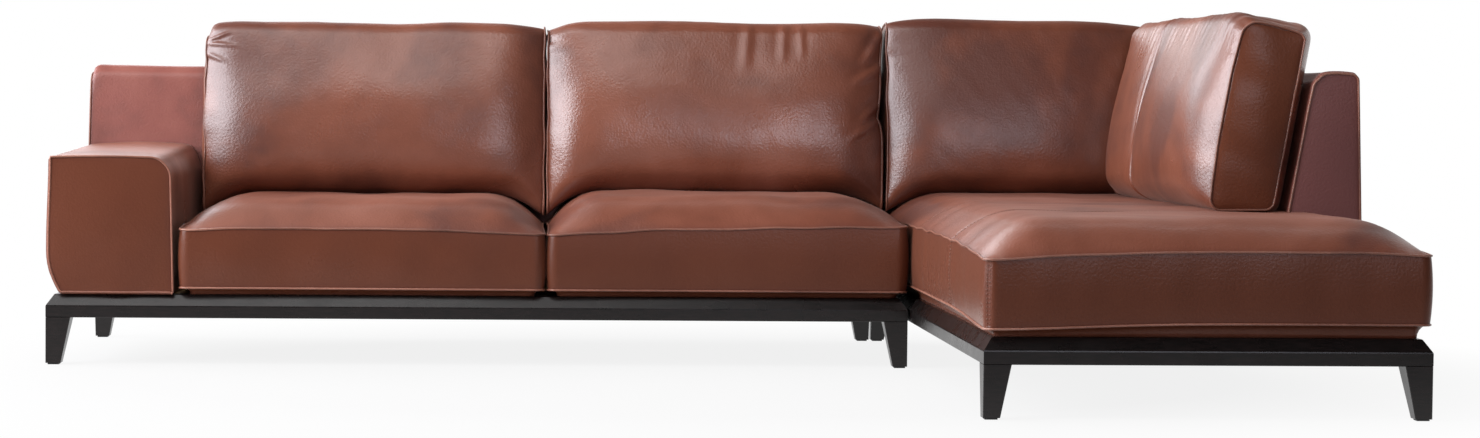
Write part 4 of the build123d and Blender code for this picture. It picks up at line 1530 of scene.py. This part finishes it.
    def settled(self, points: Array) -> Array:
        """Return points whose lower edge sinks on to the rolled sides of the seat below it.

        Args:
            points: The points before that.

        Returns:
            The moved points: at the foot they follow most of the seat's fall, higher up none of it.
        """
        top = np.max([seat.surface(points[:, 0], points[:, 1]) for seat in self.seats], axis=0)
        drop = np.clip(self.origin[2] - top, 0.0, 0.09)
        sink = self.seats[0].sink
        deep = np.minimum(drop, sink) + 0.75 * np.maximum(drop - sink, 0.0)
        weight = 1.0 - smooth(0.0, 0.16, points[:, 2] - self.origin[2])
        return points - (deep * weight)[:, None] * np.array([0.0, 0.0, 1.0])

    def filled(self, piece: Piece, shell: Shell) -> None:
        """Fill the cover, with its back, its foot and its seams held where they are.

        Args:
            piece: The cover.
            shell: The skin that it was made from.
        """
        u, p, q = self.own(shell.vertices)
        held = (p < self.held_back) | (shell.vertices[:, 2] < self.origin[2] + self.held_foot)
        held[shell.rims()] = True
        for seam in self.seams:
            held |= abs(u - seam) < self.held_seam
        share = 1.0 - self.calm * smooth(self.height - 0.24, self.height - 0.03, q)
        stuff(piece, held, self.pressure, self.slack, self.cap, share)

    def crease(self, piece: Piece) -> None:
        """Press dents, seam puckers and pull folds into the filled cover.

        Args:
            piece: The cover, whose points move along their normals.
        """
        points, normal = points_of(piece.data), normals_of(piece.data)
        u, p, q = self.own(points)
        side = np.abs(normal @ np.array(self.axis))
        face = (1.0 - smooth(0.75, 0.95, side)) * smooth(0.02, 0.10, p)
        front = smooth(0.15, 0.6, normal @ np.array(self.across))
        end = np.minimum(abs(u), abs(self.length - u))
        along = np.stack([q, p], axis=-1)
        shift = self.dents[0] * waves(points, self.dents[1], self.seed + 11) * face
        pucker = self.puckers[0] * (0.12 + 0.88 * smooth(0.65 * self.height, 0.9 * self.height, q))
        gathered = pucker * waves(along, self.puckers[1], self.seed + 12)
        shift = shift + gathered * np.exp(-end / self.pucker_fade) * face
        shift = shift + self.ripples[0] * waves(points, self.ripples[1], self.seed + 13) * face
        for fold in self.folds:
            shift = shift + fold.shift(u, q) * front
        for seam in self.seams:
            raised = bell(u - seam + self.lip_gap, *self.lip) - bell(u - seam, *self.groove)
            shift = shift + raised * face * (0.3 + 0.7 * front)
        if self.top_wrinkle:
            upper = smooth(self.height - 0.12, self.height - 0.02, q) * face
            slant = np.stack([u + 0.15 * p, 0.15 * q], axis=-1)
            lines = waves(slant, self.wrinkle_length, self.seed + 14)
            shift = shift + self.top_wrinkle * lines * upper
        move_points(piece.data, points + shift[:, None] * normal)


@dataclass
class Arm(Carried):
    """The block arm: a piped front panel, and one hide over its sides and padded top."""

    # How far the top rises towards the back
    swell: float = 0.023
    top: float = 0.527
    inner_radius: float = 0.050
    outer_radius: float = 0.008
    foot_radius: float = 0.004
    top_bow: float = 0.003
    lean: float = 0.008
    bulge: float = 0.005
    belly: float = 0.034
    belly_rise: float = 0.11
    # Height of the dome across the top, and the share of the run over which it comes up
    crest: float = 0.005
    crest_run: float = 0.16
    # How far the front panel is set in at its rim, how far it bulges, and its dents
    face_inset: float = 0.004
    face_puff: float = 0.010
    dents: Pair = (0.0012, 0.16)
    # Height and length of the waves in the sides
    side_waves: Pair = (0.0016, 0.25)
    # The piping is sunk in at the foot and the outer side, and comes out by so much where it shows
    welt_sunk: float = 0.0050
    welt_shown: float = 0.0060
    back_gap: float = 0.0012
    # Fine and coarse spacing and the reach of the fine one: across, upwards and along the run in shares
    wide_spacing: Triple = (0.006, 0.018, 0.04)
    tall_spacing: Triple = (0.006, 0.018, 0.05)
    run_spacing: Triple = (0.008, 0.03, 0.10)

    def build(self) -> None:
        """Make the cover and its piping."""
        low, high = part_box(f"{self.name}_cover")
        z0 = low.z + REST_GAP
        width, tall = high.x - low.x, self.top - z0
        us = graded(width, [0.0, width], *self.wide_spacing) / width
        vs = graded(tall, [0.0, tall], *self.tall_spacing) / tall
        front = self.section(us, vs, z0)
        loop = rim(front.shape[:2])
        edge = front.reshape(-1, 2)[loop]
        normal = self.outward(edge)
        runs = graded(1.0, [0.0], *self.run_spacing)[1:-1]
        level = smooth(0.25, 0.95, normal[:, 1])
        crest = self.crest * np.sin(math.pi * np.clip((edge[:, 0] - low.x) / width, 0, 1))
        lift = self.swell * runs[:, None] * level + rolled(runs, self.crest_run)[:, None] * level * crest
        z = edge[:, 1] + lift
        body = np.dstack([edge[:, 0] + 0.0 * z, low.y + runs[:, None] * (self.rear(z) - low.y), z])
        side = np.sign(normal[:, 0]) * smooth(0.4, 0.9, abs(normal[:, 0])) * (edge[:, 1] > z0 + 0.05)
        body[..., 0] += side * self.side_waves[0] * waves(body, self.side_waves[1], self.seed)
        dents = self.dents[0] * np.sin(math.pi * us)[:, None] * waves(front, self.dents[1], self.seed + 1)
        depth = low.y + self.face_inset - dome(us, vs, 0.7, self.face_puff) + dents
        face = np.dstack([front[..., 0], depth, front[..., 1]])
        z_rear = front[..., 1] + self.swell * smooth(self.top - 0.03, self.top, front[..., 1])
        z_rear.reshape(-1)[loop] = edge[:, 1] + (self.swell + crest) * level
        rear = np.dstack([front[..., 0], self.rear(z_rear), z_rear])
        shell = sew(face, body, rear)
        piece = make_object(self.name, shell.vertices, shell.faces)
        # The front panel takes the darker boxing tint: painted shade on the upright face, partly its own
        # tone
        boxing = shell.vertices[:, 1] < low.y + self.face_inset
        set_field(piece.data, "boxing", boxing.astype(float))
        path = shell.vertices[shell.front_rim]
        outward = np.stack([normal[:, 0], 0 * normal[:, 0], normal[:, 1]], axis=-1)
        shown = smooth(-0.3, 0.3, normal[:, 0] + normal[:, 1])[:, None]
        stand = outward * (self.welt_shown * shown - self.welt_sunk)
        self.pipe([(path + stand - [0, self.welt_stand, 0], outward)])
        self.cover(piece, path, [f"{self.name}_cover"])

    def section(self, us: Array, vs: Array, z0: float) -> Array:
        """Return the front panel: rounded shoulders, and a belly that tucks in at its foot.

        Args:
            us: Shares of the width.
            vs: Shares of the height.
            z0: Height of the foot.

        Returns:
            A grid of places from left to right and heights.
        """
        low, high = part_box(f"{self.name}_cover")
        belly = tucked(vs * (self.top - z0), self.belly, self.belly_rise)
        draws = {Side.LEFT: belly + self.bulge * smooth(0.35, 1.0, vs), Side.TOP: bow(us, -self.top_bow)}
        corners = [(low.x, z0), (high.x, z0), (high.x - self.lean, self.top), (low.x, self.top)]
        radii = [self.foot_radius, self.foot_radius, self.inner_radius, self.outer_radius]
        return panel(corners, us, vs, radii, draws)

    def rear(self, z: Array) -> Array:
        """Return how far back the arm reaches: up to the back, which is raked above the seat.

        Args:
            z: Heights.

        Returns:
            One place from front to back for each height.
        """
        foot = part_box("sofa_back_cover")[0].y
        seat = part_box("left_seat_cover")[1].z
        return foot - self.back_gap + np.maximum(z - seat, 0.0) * RAKE_TAN


@dataclass
class Back(Carried):
    """An upholstered back: raked inside, leaning outside, with piped end panels."""

    length: float = 2.2
    seat_z: float = 0.44
    depth: float = 0.18
    outer_lean: float = math.tan(math.radians(2.0))
    # Radii of the end panel's corners from the outer foot round to the outer top, and its bow
    radii: Quad = (0.004, 0.004, 0.030, 0.012)
    top_bow: float = 0.005
    belly: float = 0.022
    belly_rise: float = 0.062
    mitre_start: bool = False
    mitre_end: bool = False
    # How far each free end's top is rounded down, and how far its panel bulges
    corner_drops: Pair = (0.004, 0.004)
    end_puffs: Pair = (0.005, 0.005)
    # Height and length of the waves in the hide, and how far it lies inside the solid
    hide_waves: Pair = (0.0013, 0.32)
    hide_inset: float = 0.0021
    # Fine and coarse spacing and the reach of the fine one: across, upwards and along the run
    deep_spacing: Triple = (0.006, 0.02, 0.03)
    tall_spacing: Triple = (0.006, 0.022, 0.04)
    run_spacing: Triple = (0.006, 0.03, 0.06)

    def build(self) -> None:
        """Make the cover and its piping."""
        low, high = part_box(f"{self.name}_cover")
        z0, z1 = low.z + REST_GAP, high.z
        tall = z1 - z0
        us = graded(self.depth, [0.0, self.depth], *self.deep_spacing) / self.depth
        vs = graded(tall, [0.0, self.seat_z - z0, tall], *self.tall_spacing) / tall
        end = self.section(us, vs, z0, z1)
        edge = end.reshape(-1, 2)[rim(end.shape[:2])]
        normal = self.outward(edge)
        runs = graded(self.length, [0.0, self.length], *self.run_spacing)[1:-1] / self.length
        u = self.spread(runs[:, None], edge[None, :, 0])
        soft = smooth(0.0, 0.06, np.minimum(runs, 1 - runs) * self.length)[:, None]
        rows = self.place(u, edge[None, :, 0] + 0 * u, edge[None, :, 1] + 0 * u)
        skin = self.hide_waves[0] * waves(rows, self.hide_waves[1], self.seed) - self.hide_inset
        skin = skin * soft * (edge[:, 1] > z0 + 0.02)
        p, q = (edge[None, :, k] + skin * normal[None, :, k] for k in (0, 1))
        rows = self.place(u, p, self.rounded(u, q, z1))
        bulge = dome(us, vs, 0.6)
        panels = []
        for share, push, mitred in ((0.0, -self.end_puffs[0], self.mitre_start),
                                    (1.0, self.end_puffs[1], self.mitre_end)):
            at = self.spread(share, end[..., 0])
            rise = self.rounded(at, end[..., 1], z1)
            panels.append(self.place(at + (0.0 if mitred else push) * bulge, end[..., 0], rise))
        shell = sew(panels[0], rows, panels[1])
        piece = make_object(self.name, shell.vertices, shell.faces)
        # The end panels take the darker boxing tint: partly their own tone, partly painted shade
        set_field(piece.data, "boxing", np.where(shell.band, 0.0, 1.0))
        axis = np.array(self.axis)
        loops = []
        if not self.mitre_start:
            loops.append((shell.vertices[shell.front_rim] - axis * self.welt_stand, axis))
        if not self.mitre_end:
            loops.append((shell.vertices[shell.rear_rim] + axis * self.welt_stand, axis))
        self.pipe(loops)
        self.cover(piece, shell.rim_points(), [f"{self.name}_cover"])

    def section(self, us: Array, vs: Array, z0: float, z1: float) -> Array:
        """Return the end panel: upright to the seat, raked above it, and tucked in at its outer foot.

        Args:
            us: Shares of the depth.
            vs: Shares of the height.
            z0: Height of the foot.
            z1: Height of the top.

        Returns:
            A grid of depth and height.
        """
        tall = z1 - z0
        rake = (z1 - self.seat_z) * RAKE_TAN
        knee = (self.seat_z - z0) / tall
        tent = np.minimum(vs / knee, (1 - vs) / (1 - knee))
        belly = tucked(vs * tall, self.belly, self.belly_rise)
        draws = {Side.LEFT: belly, Side.RIGHT: -rake * knee * tent, Side.TOP: bow(us, -self.top_bow)}
        lean = (tall - self.belly_rise) * self.outer_lean
        corners = [(0.0, z0), (self.depth, z0), (self.depth - rake, z1), (lean, z1)]
        return panel(corners, us, vs, list(self.radii), draws)

    def rounded(self, u: Array, q: Array, z1: float) -> Array:
        """Return heights whose top is rounded down at the free ends, on quarter circles.

        Args:
            u: Runs along the back.
            q: Heights before that.
            z1: Height of the top.

        Returns:
            The new heights.
        """
        upper = smooth(z1 - 0.10, z1, q)
        drop = np.zeros(np.broadcast(u, q).shape)
        for away, radius, mitred in ((u, self.corner_drops[0], self.mitre_start),
                                     (self.length - u, self.corner_drops[1], self.mitre_end)):
            if not mitred:
                short = np.clip(1.0 - away / radius, 0.0, 1.0)
                drop = drop + radius * (1.0 - np.sqrt(1.0 - short**2))
        return q - upper * drop

    def spread(self, share: Array | float, p: Array) -> Array:
        """Return runs along the back, with mitred ends cut at 45 degrees to the depth.

        Args:
            share: Shares of the length.
            p: Depths.

        Returns:
            One run for each pair of them.
        """
        start = p if self.mitre_start else 0.0 * p
        stop = self.length - (p if self.mitre_end else 0.0 * p)
        return start + share * (stop - start)


@dataclass
class Timber:
    """The plinths, legs and hardware, which keep their solids and get a finish."""

    finishes: Finishes

    def build(self) -> None:
        """Dress every solid that stays in view."""
        lacquered = (self.finishes.lacquer, "dark_lacquered_timber")
        plated = (self.finishes.zinc, "zinc_steel")
        planed = (self.finishes.pine, "frame_timber")
        kinds = {
            "rail": lacquered, "leg_front": lacquered, "leg_rear": lacquered,
            "glides": (self.finishes.nylon, "nylon"),
            "bolts": plated, "screws": plated, "hooks": plated, "catches": plated,
            "dust_cloth": (self.finishes.cloth, "dust_cloth"),
            "bearers": planed, "frame": planed,
        }
        for name, node in sorted(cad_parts.items()):
            for word, (material, slot) in kinds.items():
                if word in name:
                    node.data.materials.clear()
                    node.data.materials.append(material)
        log.info("timber and hardware dressed")


@dataclass(frozen=True)
class Lamp:
    """One soft light: its place, what it faces, its width and height, power in watts and colour."""

    name: str
    place: Triple
    aim: Triple
    size: Pair
    power: float
    colour: str = "#ffffff"

    def hang(self) -> None:
        """Put the light into the scene."""
        data = bpy.data.lights.new(self.name, "AREA")
        data.shape = "RECTANGLE"
        data.size, data.size_y = self.size
        data.energy = self.power
        data.color = linear(self.colour)[:3]
        light = bpy.data.objects.new(self.name, data)
        light.location = self.place
        heading = Vector(self.aim) - Vector(self.place)
        light.rotation_euler = heading.to_track_quat("-Z", "Y").to_euler()
        bpy.context.scene.collection.objects.link(light)


@dataclass
class Studio:
    """A pale floor, soft light and the camera of the photograph."""

    # Width of the photograph and focal length of its camera, in pixels
    image_width: int = 1480
    focal: float = 3052.11
    place: Triple = (-0.3804, -7.6706, 0.6811)
    yaw: float = math.radians(3.9673)
    pitch: float = math.radians(2.1645)
    roll: float = math.radians(0.6037)
    sensor: float = 36.0
    floor_reach: float = 60.0
    lamps: tuple[Lamp, ...] = (
        Lamp("front_window", (-5.9, -1.9, 3.1), (-0.2, 0.6, 0.6), (4.7, 4.3), 670.0, "#f4f7ff"),
        Lamp("side_window", (-5.9, 1.9, 2.7), (1.0, 0.0, 0.6), (3.0, 2.8), 250.0, "#f4f7ff"),
        Lamp("rear_window", (-2.0, 5.2, 3.0), (-0.8, 0.4, 0.5), (3.0, 3.2), 98.0, "#f4f7ff"),
        Lamp("canopy", (-1.7, -1.8, 4.0), (-0.8, 0.4, 0.5), (4.6, 1.6), 62.0, "#ffffff"),
        Lamp("ceiling", (-1.8, 0.2, 4.0), (-0.6, 0.2, 0.4), (4.0, 2.5), 26.0, "#ffffff"),
        Lamp("far_window", (1.8, -6.6, 2.4), (0.3, 0.8, 0.6), (2.6, 1.7), 66.0, "#f0f2ff"),
    )

    def build(self) -> None:
        """Make the floor, the lights, the world and the camera."""
        self.floor()
        for lamp in self.lamps:
            lamp.hang()
        self.world()
        self.camera()

    def floor(self) -> None:
        """Lay a wide pale floor: shaded by the light near the sofa, and plain white away from it."""
        corners = np.array([[-1, -1, 0], [1, -1, 0], [1, 1, 0], [-1, 1, 0]], float)
        floor = make_object("floor", self.floor_reach * corners, np.array([[0, 1, 2, 3]]))
        made, tree = new_material("pale_studio_floor")
        seen = add(tree, "ShaderNodeLightPath", {})
        sharp = add(tree, "ShaderNodeMath", {
            0: seen.outputs["Is Glossy Ray"], 1: seen.outputs["Is Transmission Ray"]}, operation="MAXIMUM")
        place = add(tree, "ShaderNodeTexCoord", {}).outputs["Object"]
        axes = add(tree, "ShaderNodeSeparateXYZ", {"Vector": place})
        paper = add(tree, "ShaderNodeMapRange", {
            "Value": axes.outputs["Y"], "From Min": -2.4, "From Max": -1.3, "To Min": 0.15, "To Max": 1.0})
        shown = add(tree, "ShaderNodeMath", {
            0: sharp.outputs[0], 1: paper.outputs["Result"]}, operation="MULTIPLY")
        viewed = add(tree, "ShaderNodeMath", {
            0: seen.outputs["Is Camera Ray"], 1: shown.outputs[0]}, operation="MAXIMUM")
        shrunk = add(tree, "ShaderNodeMapping", {"Vector": place, "Scale": (0.32, 0.42, 0.0)})
        away = add(tree, "ShaderNodeVectorMath", {0: shrunk.outputs["Vector"]}, operation="LENGTH")
        white_share = add(tree, "ShaderNodeMapRange", {
            "Value": away.outputs["Value"], "From Min": 0.45, "From Max": 0.85,
            "To Min": 0.86, "To Max": 1.0})
        blend = add(tree, "ShaderNodeMath", {
            0: viewed.outputs[0], 1: white_share.outputs["Result"]}, operation="MULTIPLY")
        tone = add(tree, "ShaderNodeMix", {
            0: paper.outputs["Result"], 6: linear("#4a4847"), 7: linear("#b8b6b4")}, data_type="RGBA")
        matt = add(tree, "ShaderNodeBsdfDiffuse", {"Color": tone.outputs[2]})
        white = add(tree, "ShaderNodeEmission", {"Color": linear("#ffffff"), "Strength": 1.0})
        both = add(tree, "ShaderNodeMixShader", {
            0: blend.outputs[0], 1: matt.outputs[0], 2: white.outputs[0]})
        add(tree, "ShaderNodeOutputMaterial", {"Surface": both.outputs[0]})
        floor.data.materials.append(made)

    def world(self) -> None:
        """Surround the scene with a room that is white behind the sofa and dim in front of it.

        The camera sees plain white. Other rays get a strength that rises from front to back and
        falls off overhead.
        """
        world = bpy.data.worlds.new("studio")
        world.use_nodes = True
        tree = world.node_tree
        tree.nodes.clear()
        seen = add(tree, "ShaderNodeLightPath", {})
        heading = add(tree, "ShaderNodeTexCoord", {}).outputs["Generated"]
        parts = add(tree, "ShaderNodeSeparateXYZ", {"Vector": heading})
        room = add(tree, "ShaderNodeMapRange", {
            "Value": parts.outputs["Y"], "From Min": -0.2, "From Max": 0.6, "To Min": 0.10, "To Max": 1.0})
        wall = add(tree, "ShaderNodeMapRange", {
            "Value": parts.outputs["Z"], "From Min": 0.70, "From Max": 0.90, "To Min": 1.0, "To Max": 0.1})
        glow = add(tree, "ShaderNodeMath", {
            0: room.outputs["Result"], 1: wall.outputs["Result"]}, operation="MULTIPLY")
        strength = add(tree, "ShaderNodeMath", {
            0: seen.outputs["Is Camera Ray"], 1: glow.outputs[0]}, operation="MAXIMUM")
        sky = add(tree, "ShaderNodeBackground", {
            "Color": linear("#ffffff"), "Strength": strength.outputs[0]})
        add(tree, "ShaderNodeOutputWorld", {"Surface": sky.outputs[0]})
        bpy.context.scene.world = world

    def camera(self) -> None:
        """Set the camera as fitted to the photograph: turned to the right, tipped down and rolled."""
        data = bpy.data.cameras.new("camera")
        data.sensor_width = self.sensor
        data.lens = self.sensor * self.focal / self.image_width
        data.clip_end = 200.0
        camera = bpy.data.objects.new("camera", data)
        bpy.context.scene.collection.objects.link(camera)
        aimed = Matrix.Rotation(-self.yaw, 4, "Z") @ Matrix.Rotation(math.pi / 2 - self.pitch, 4, "X")
        camera.matrix_world = Matrix.Translation(self.place) @ aimed @ Matrix.Rotation(self.roll, 4, "Z")
        bpy.context.scene.camera = camera


def make_seats(finishes: Finishes) -> tuple[Seat, Seat, Seat]:
    """Build the three seats.

    Args:
        finishes: Every finish of the sofa.

    Returns:
        The left, the middle and the chaise's seat.
    """
    roll = 0.165
    three = {Side.BOTTOM: roll, Side.RIGHT: roll, Side.LEFT: roll}
    padded = {"finishes": finishes, "material": finishes.seat, "fill": 0.8, "rolls": three,
              "dull_from": 0.88}
    left = Seat("left_seat", "sofa", **padded, seed=21, tilt=(-0.004, -0.013), sink=0.012)
    middle = Seat("middle_seat", "sofa", **padded, seed=31, tilt=(-0.013, 0.013))
    low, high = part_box("chaise_seat_cover")
    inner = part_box("side_back_cover")[0]
    notch = ((inner.x - low.x) / (high.x - low.x), (inner.y - low.y) / (high.y - low.y))
    front_seam, rear_seam, corner = -0.530, 0.09, 0.010
    chaise = Seat("chaise_seat", "chaise", **padded, seed=41, tilt=(0.012, 0.012), corner_dip=0.014,
                  low_lift=0.014, seams=[front_seam, rear_seam], notch=notch,
                  posts=[(low.x + corner, low.y + corner), (low.x, front_seam)])
    for seat in (left, middle, chaise):
        seat.build()
    return left, middle, chaise


def make_backs(finishes: Finishes, seat_z: float) -> None:
    """Build the three backs.

    Args:
        finishes: Every finish of the sofa.
        seat_z: Height of the seats, from which the backs are raked.
    """
    covered = {"finishes": finishes, "material": finishes.back, "fill": 0.9, "seat_z": seat_z}
    # The backs stop short of the split between the units by this much, so that their piping clears
    ease = 0.0014
    low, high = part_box("sofa_back_cover")
    Back("sofa_back", "sofa", **covered, origin=(low.x, high.y, 0.0), seed=61,
         length=high.x - ease - low.x, corner_drops=(0.024, 0.004), end_puffs=(0.005, 0.001)).build()
    low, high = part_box("chaise_back_cover")
    Back("chaise_back", "chaise", **covered, origin=(low.x + ease, high.y, 0.0), seed=63,
         length=high.x - ease - low.x, mitre_end=True, end_puffs=(0.001, 0.0)).build()
    low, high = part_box("side_back_cover")
    Back("side_back", "chaise", **covered, origin=(high.x, high.y, 0.0), axis=(0.0, -1.0, 0.0),
         across=(-1.0, 0.0, 0.0), seed=65, length=high.y - low.y, mitre_start=True,
         corner_drops=(0.004, 0.006)).build()


def make_cushions(finishes: Finishes, seat_z: float, left: Seat, middle: Seat, chaise: Seat) -> None:
    """Build the four loose cushions.

    Args:
        finishes: Every finish of the sofa.
        seat_z: Height of the seats that they stand on.
        left: The left seat.
        middle: The middle seat.
        chaise: The chaise's seat.
    """
    stuffed = {"finishes": finishes, "material": finishes.cushion, "fill": 0.7}
    leaning = {"across": (0.0, -RAKE_COS, RAKE_SIN), "upward": (0.0, RAKE_SIN, RAKE_COS)}
    rest_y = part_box("sofa_back_cover")[0].y - LOOSE_GAP
    # Each leaning cushion is drawn in at both ends by this much, so that its piping clears the next one
    slip = 0.0030
    # The folds run from the seam or the top into the front, as run and height, then width and rise
    shapes = {
        "left_cushion": {
            "seed": 71, "seats": [left], "height": 0.418, "top_puff": 0.004, "squeeze": 0.0076,
            "corner_drops": (0.030, -0.006), "corner_runs": (0.032, 0.13), "end_puffs": (0.011, 0.0),
            "folds": [
                Fold((0.01, 0.372), (0.07, 0.392), 0.007, 0.003),
                Fold((0.01, 0.362), (0.09, 0.350), 0.008, 0.003),
                Fold((0.01, 0.330), (0.06, 0.305), 0.009, 0.003),
            ],
        },
        "middle_cushion": {
            "seed": 82, "seats": [middle], "height": 0.431, "top_puff": 0.004,
            "corner_drops": (0.016, -0.007), "corner_runs": (0.10, 0.13), "end_puffs": (-0.010, 0.001),
            "kinks": [Kink(at_end=True, height=0.175, pull=0.013, above=0.06, below=0.025)],
            "folds": [
                Fold((0.925, 0.405), (0.868, 0.308), 0.019, 0.0045),
                Fold((0.921, 0.314), (0.836, 0.257), 0.018, 0.004),
                Fold((0.915, 0.211), (0.849, 0.139), 0.016, 0.004),
                Fold((0.913, 0.165), (0.823, 0.097), 0.016, 0.0035),
                Fold((0.553, 0.425), (0.540, 0.290), 0.022, 0.0022),
                Fold((0.652, 0.425), (0.645, 0.310), 0.017, 0.0020),
                Fold((0.700, 0.425), (0.700, 0.320), 0.014, 0.0016),
            ],
        },
        "corner_cushion": {
            "seed": 93, "seats": [chaise], "height": 0.446, "rolls": (0.17, 0.38),
            "corner_drops": (-0.002, 0.002), "corner_runs": (0.09, 0.04), "end_puffs": (0.004, 0.010),
        },
    }
    for name, shape in shapes.items():
        low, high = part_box(f"{name}_cover")
        Cushion(name, name, **stuffed, **leaning, **shape, origin=(low.x + slip, rest_y, seat_z),
                length=high.x - low.x - 2 * slip).build()
    # The side cushion starts at the front of the corner cushion, and has a cross seam
    corner_depth, seam_y = 0.240, 0.272
    far_end = rest_y - corner_depth / RAKE_COS
    near_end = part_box("side_cushion_cover")[0].y
    rest_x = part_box("side_back_cover")[0].x - LOOSE_GAP
    Cushion("side_cushion", "side_cushion", **stuffed, seed=105, seats=[chaise],
            origin=(rest_x, far_end, seat_z), axis=(0.0, -1.0, 0.0), across=(-RAKE_COS, 0.0, RAKE_SIN),
            upward=(RAKE_SIN, 0.0, RAKE_COS), length=far_end - near_end, corner_drops=(0.004, 0.014),
            corner_runs=(0.04, 0.12), end_puffs=(0.0, 0.012), end_slant=RAKE_SIN,
            seams=[far_end - seam_y], top_wrinkle=0.0012).build()


def main() -> None:
    """Build the sofa and its studio."""
    bpy.context.scene.view_settings.view_transform = "Standard"
    finishes = Finishes()
    Timber(finishes).build()
    seats = make_seats(finishes)
    Arm("arm", "sofa", finishes, finishes.seat, fill=0.9, seed=51, dullness=0.6).build()
    seat_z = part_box("left_seat_cover")[1].z
    make_backs(finishes, seat_z)
    make_cushions(finishes, seat_z, *seats)
    Studio().build()


if __name__ == "__main__":
    main()
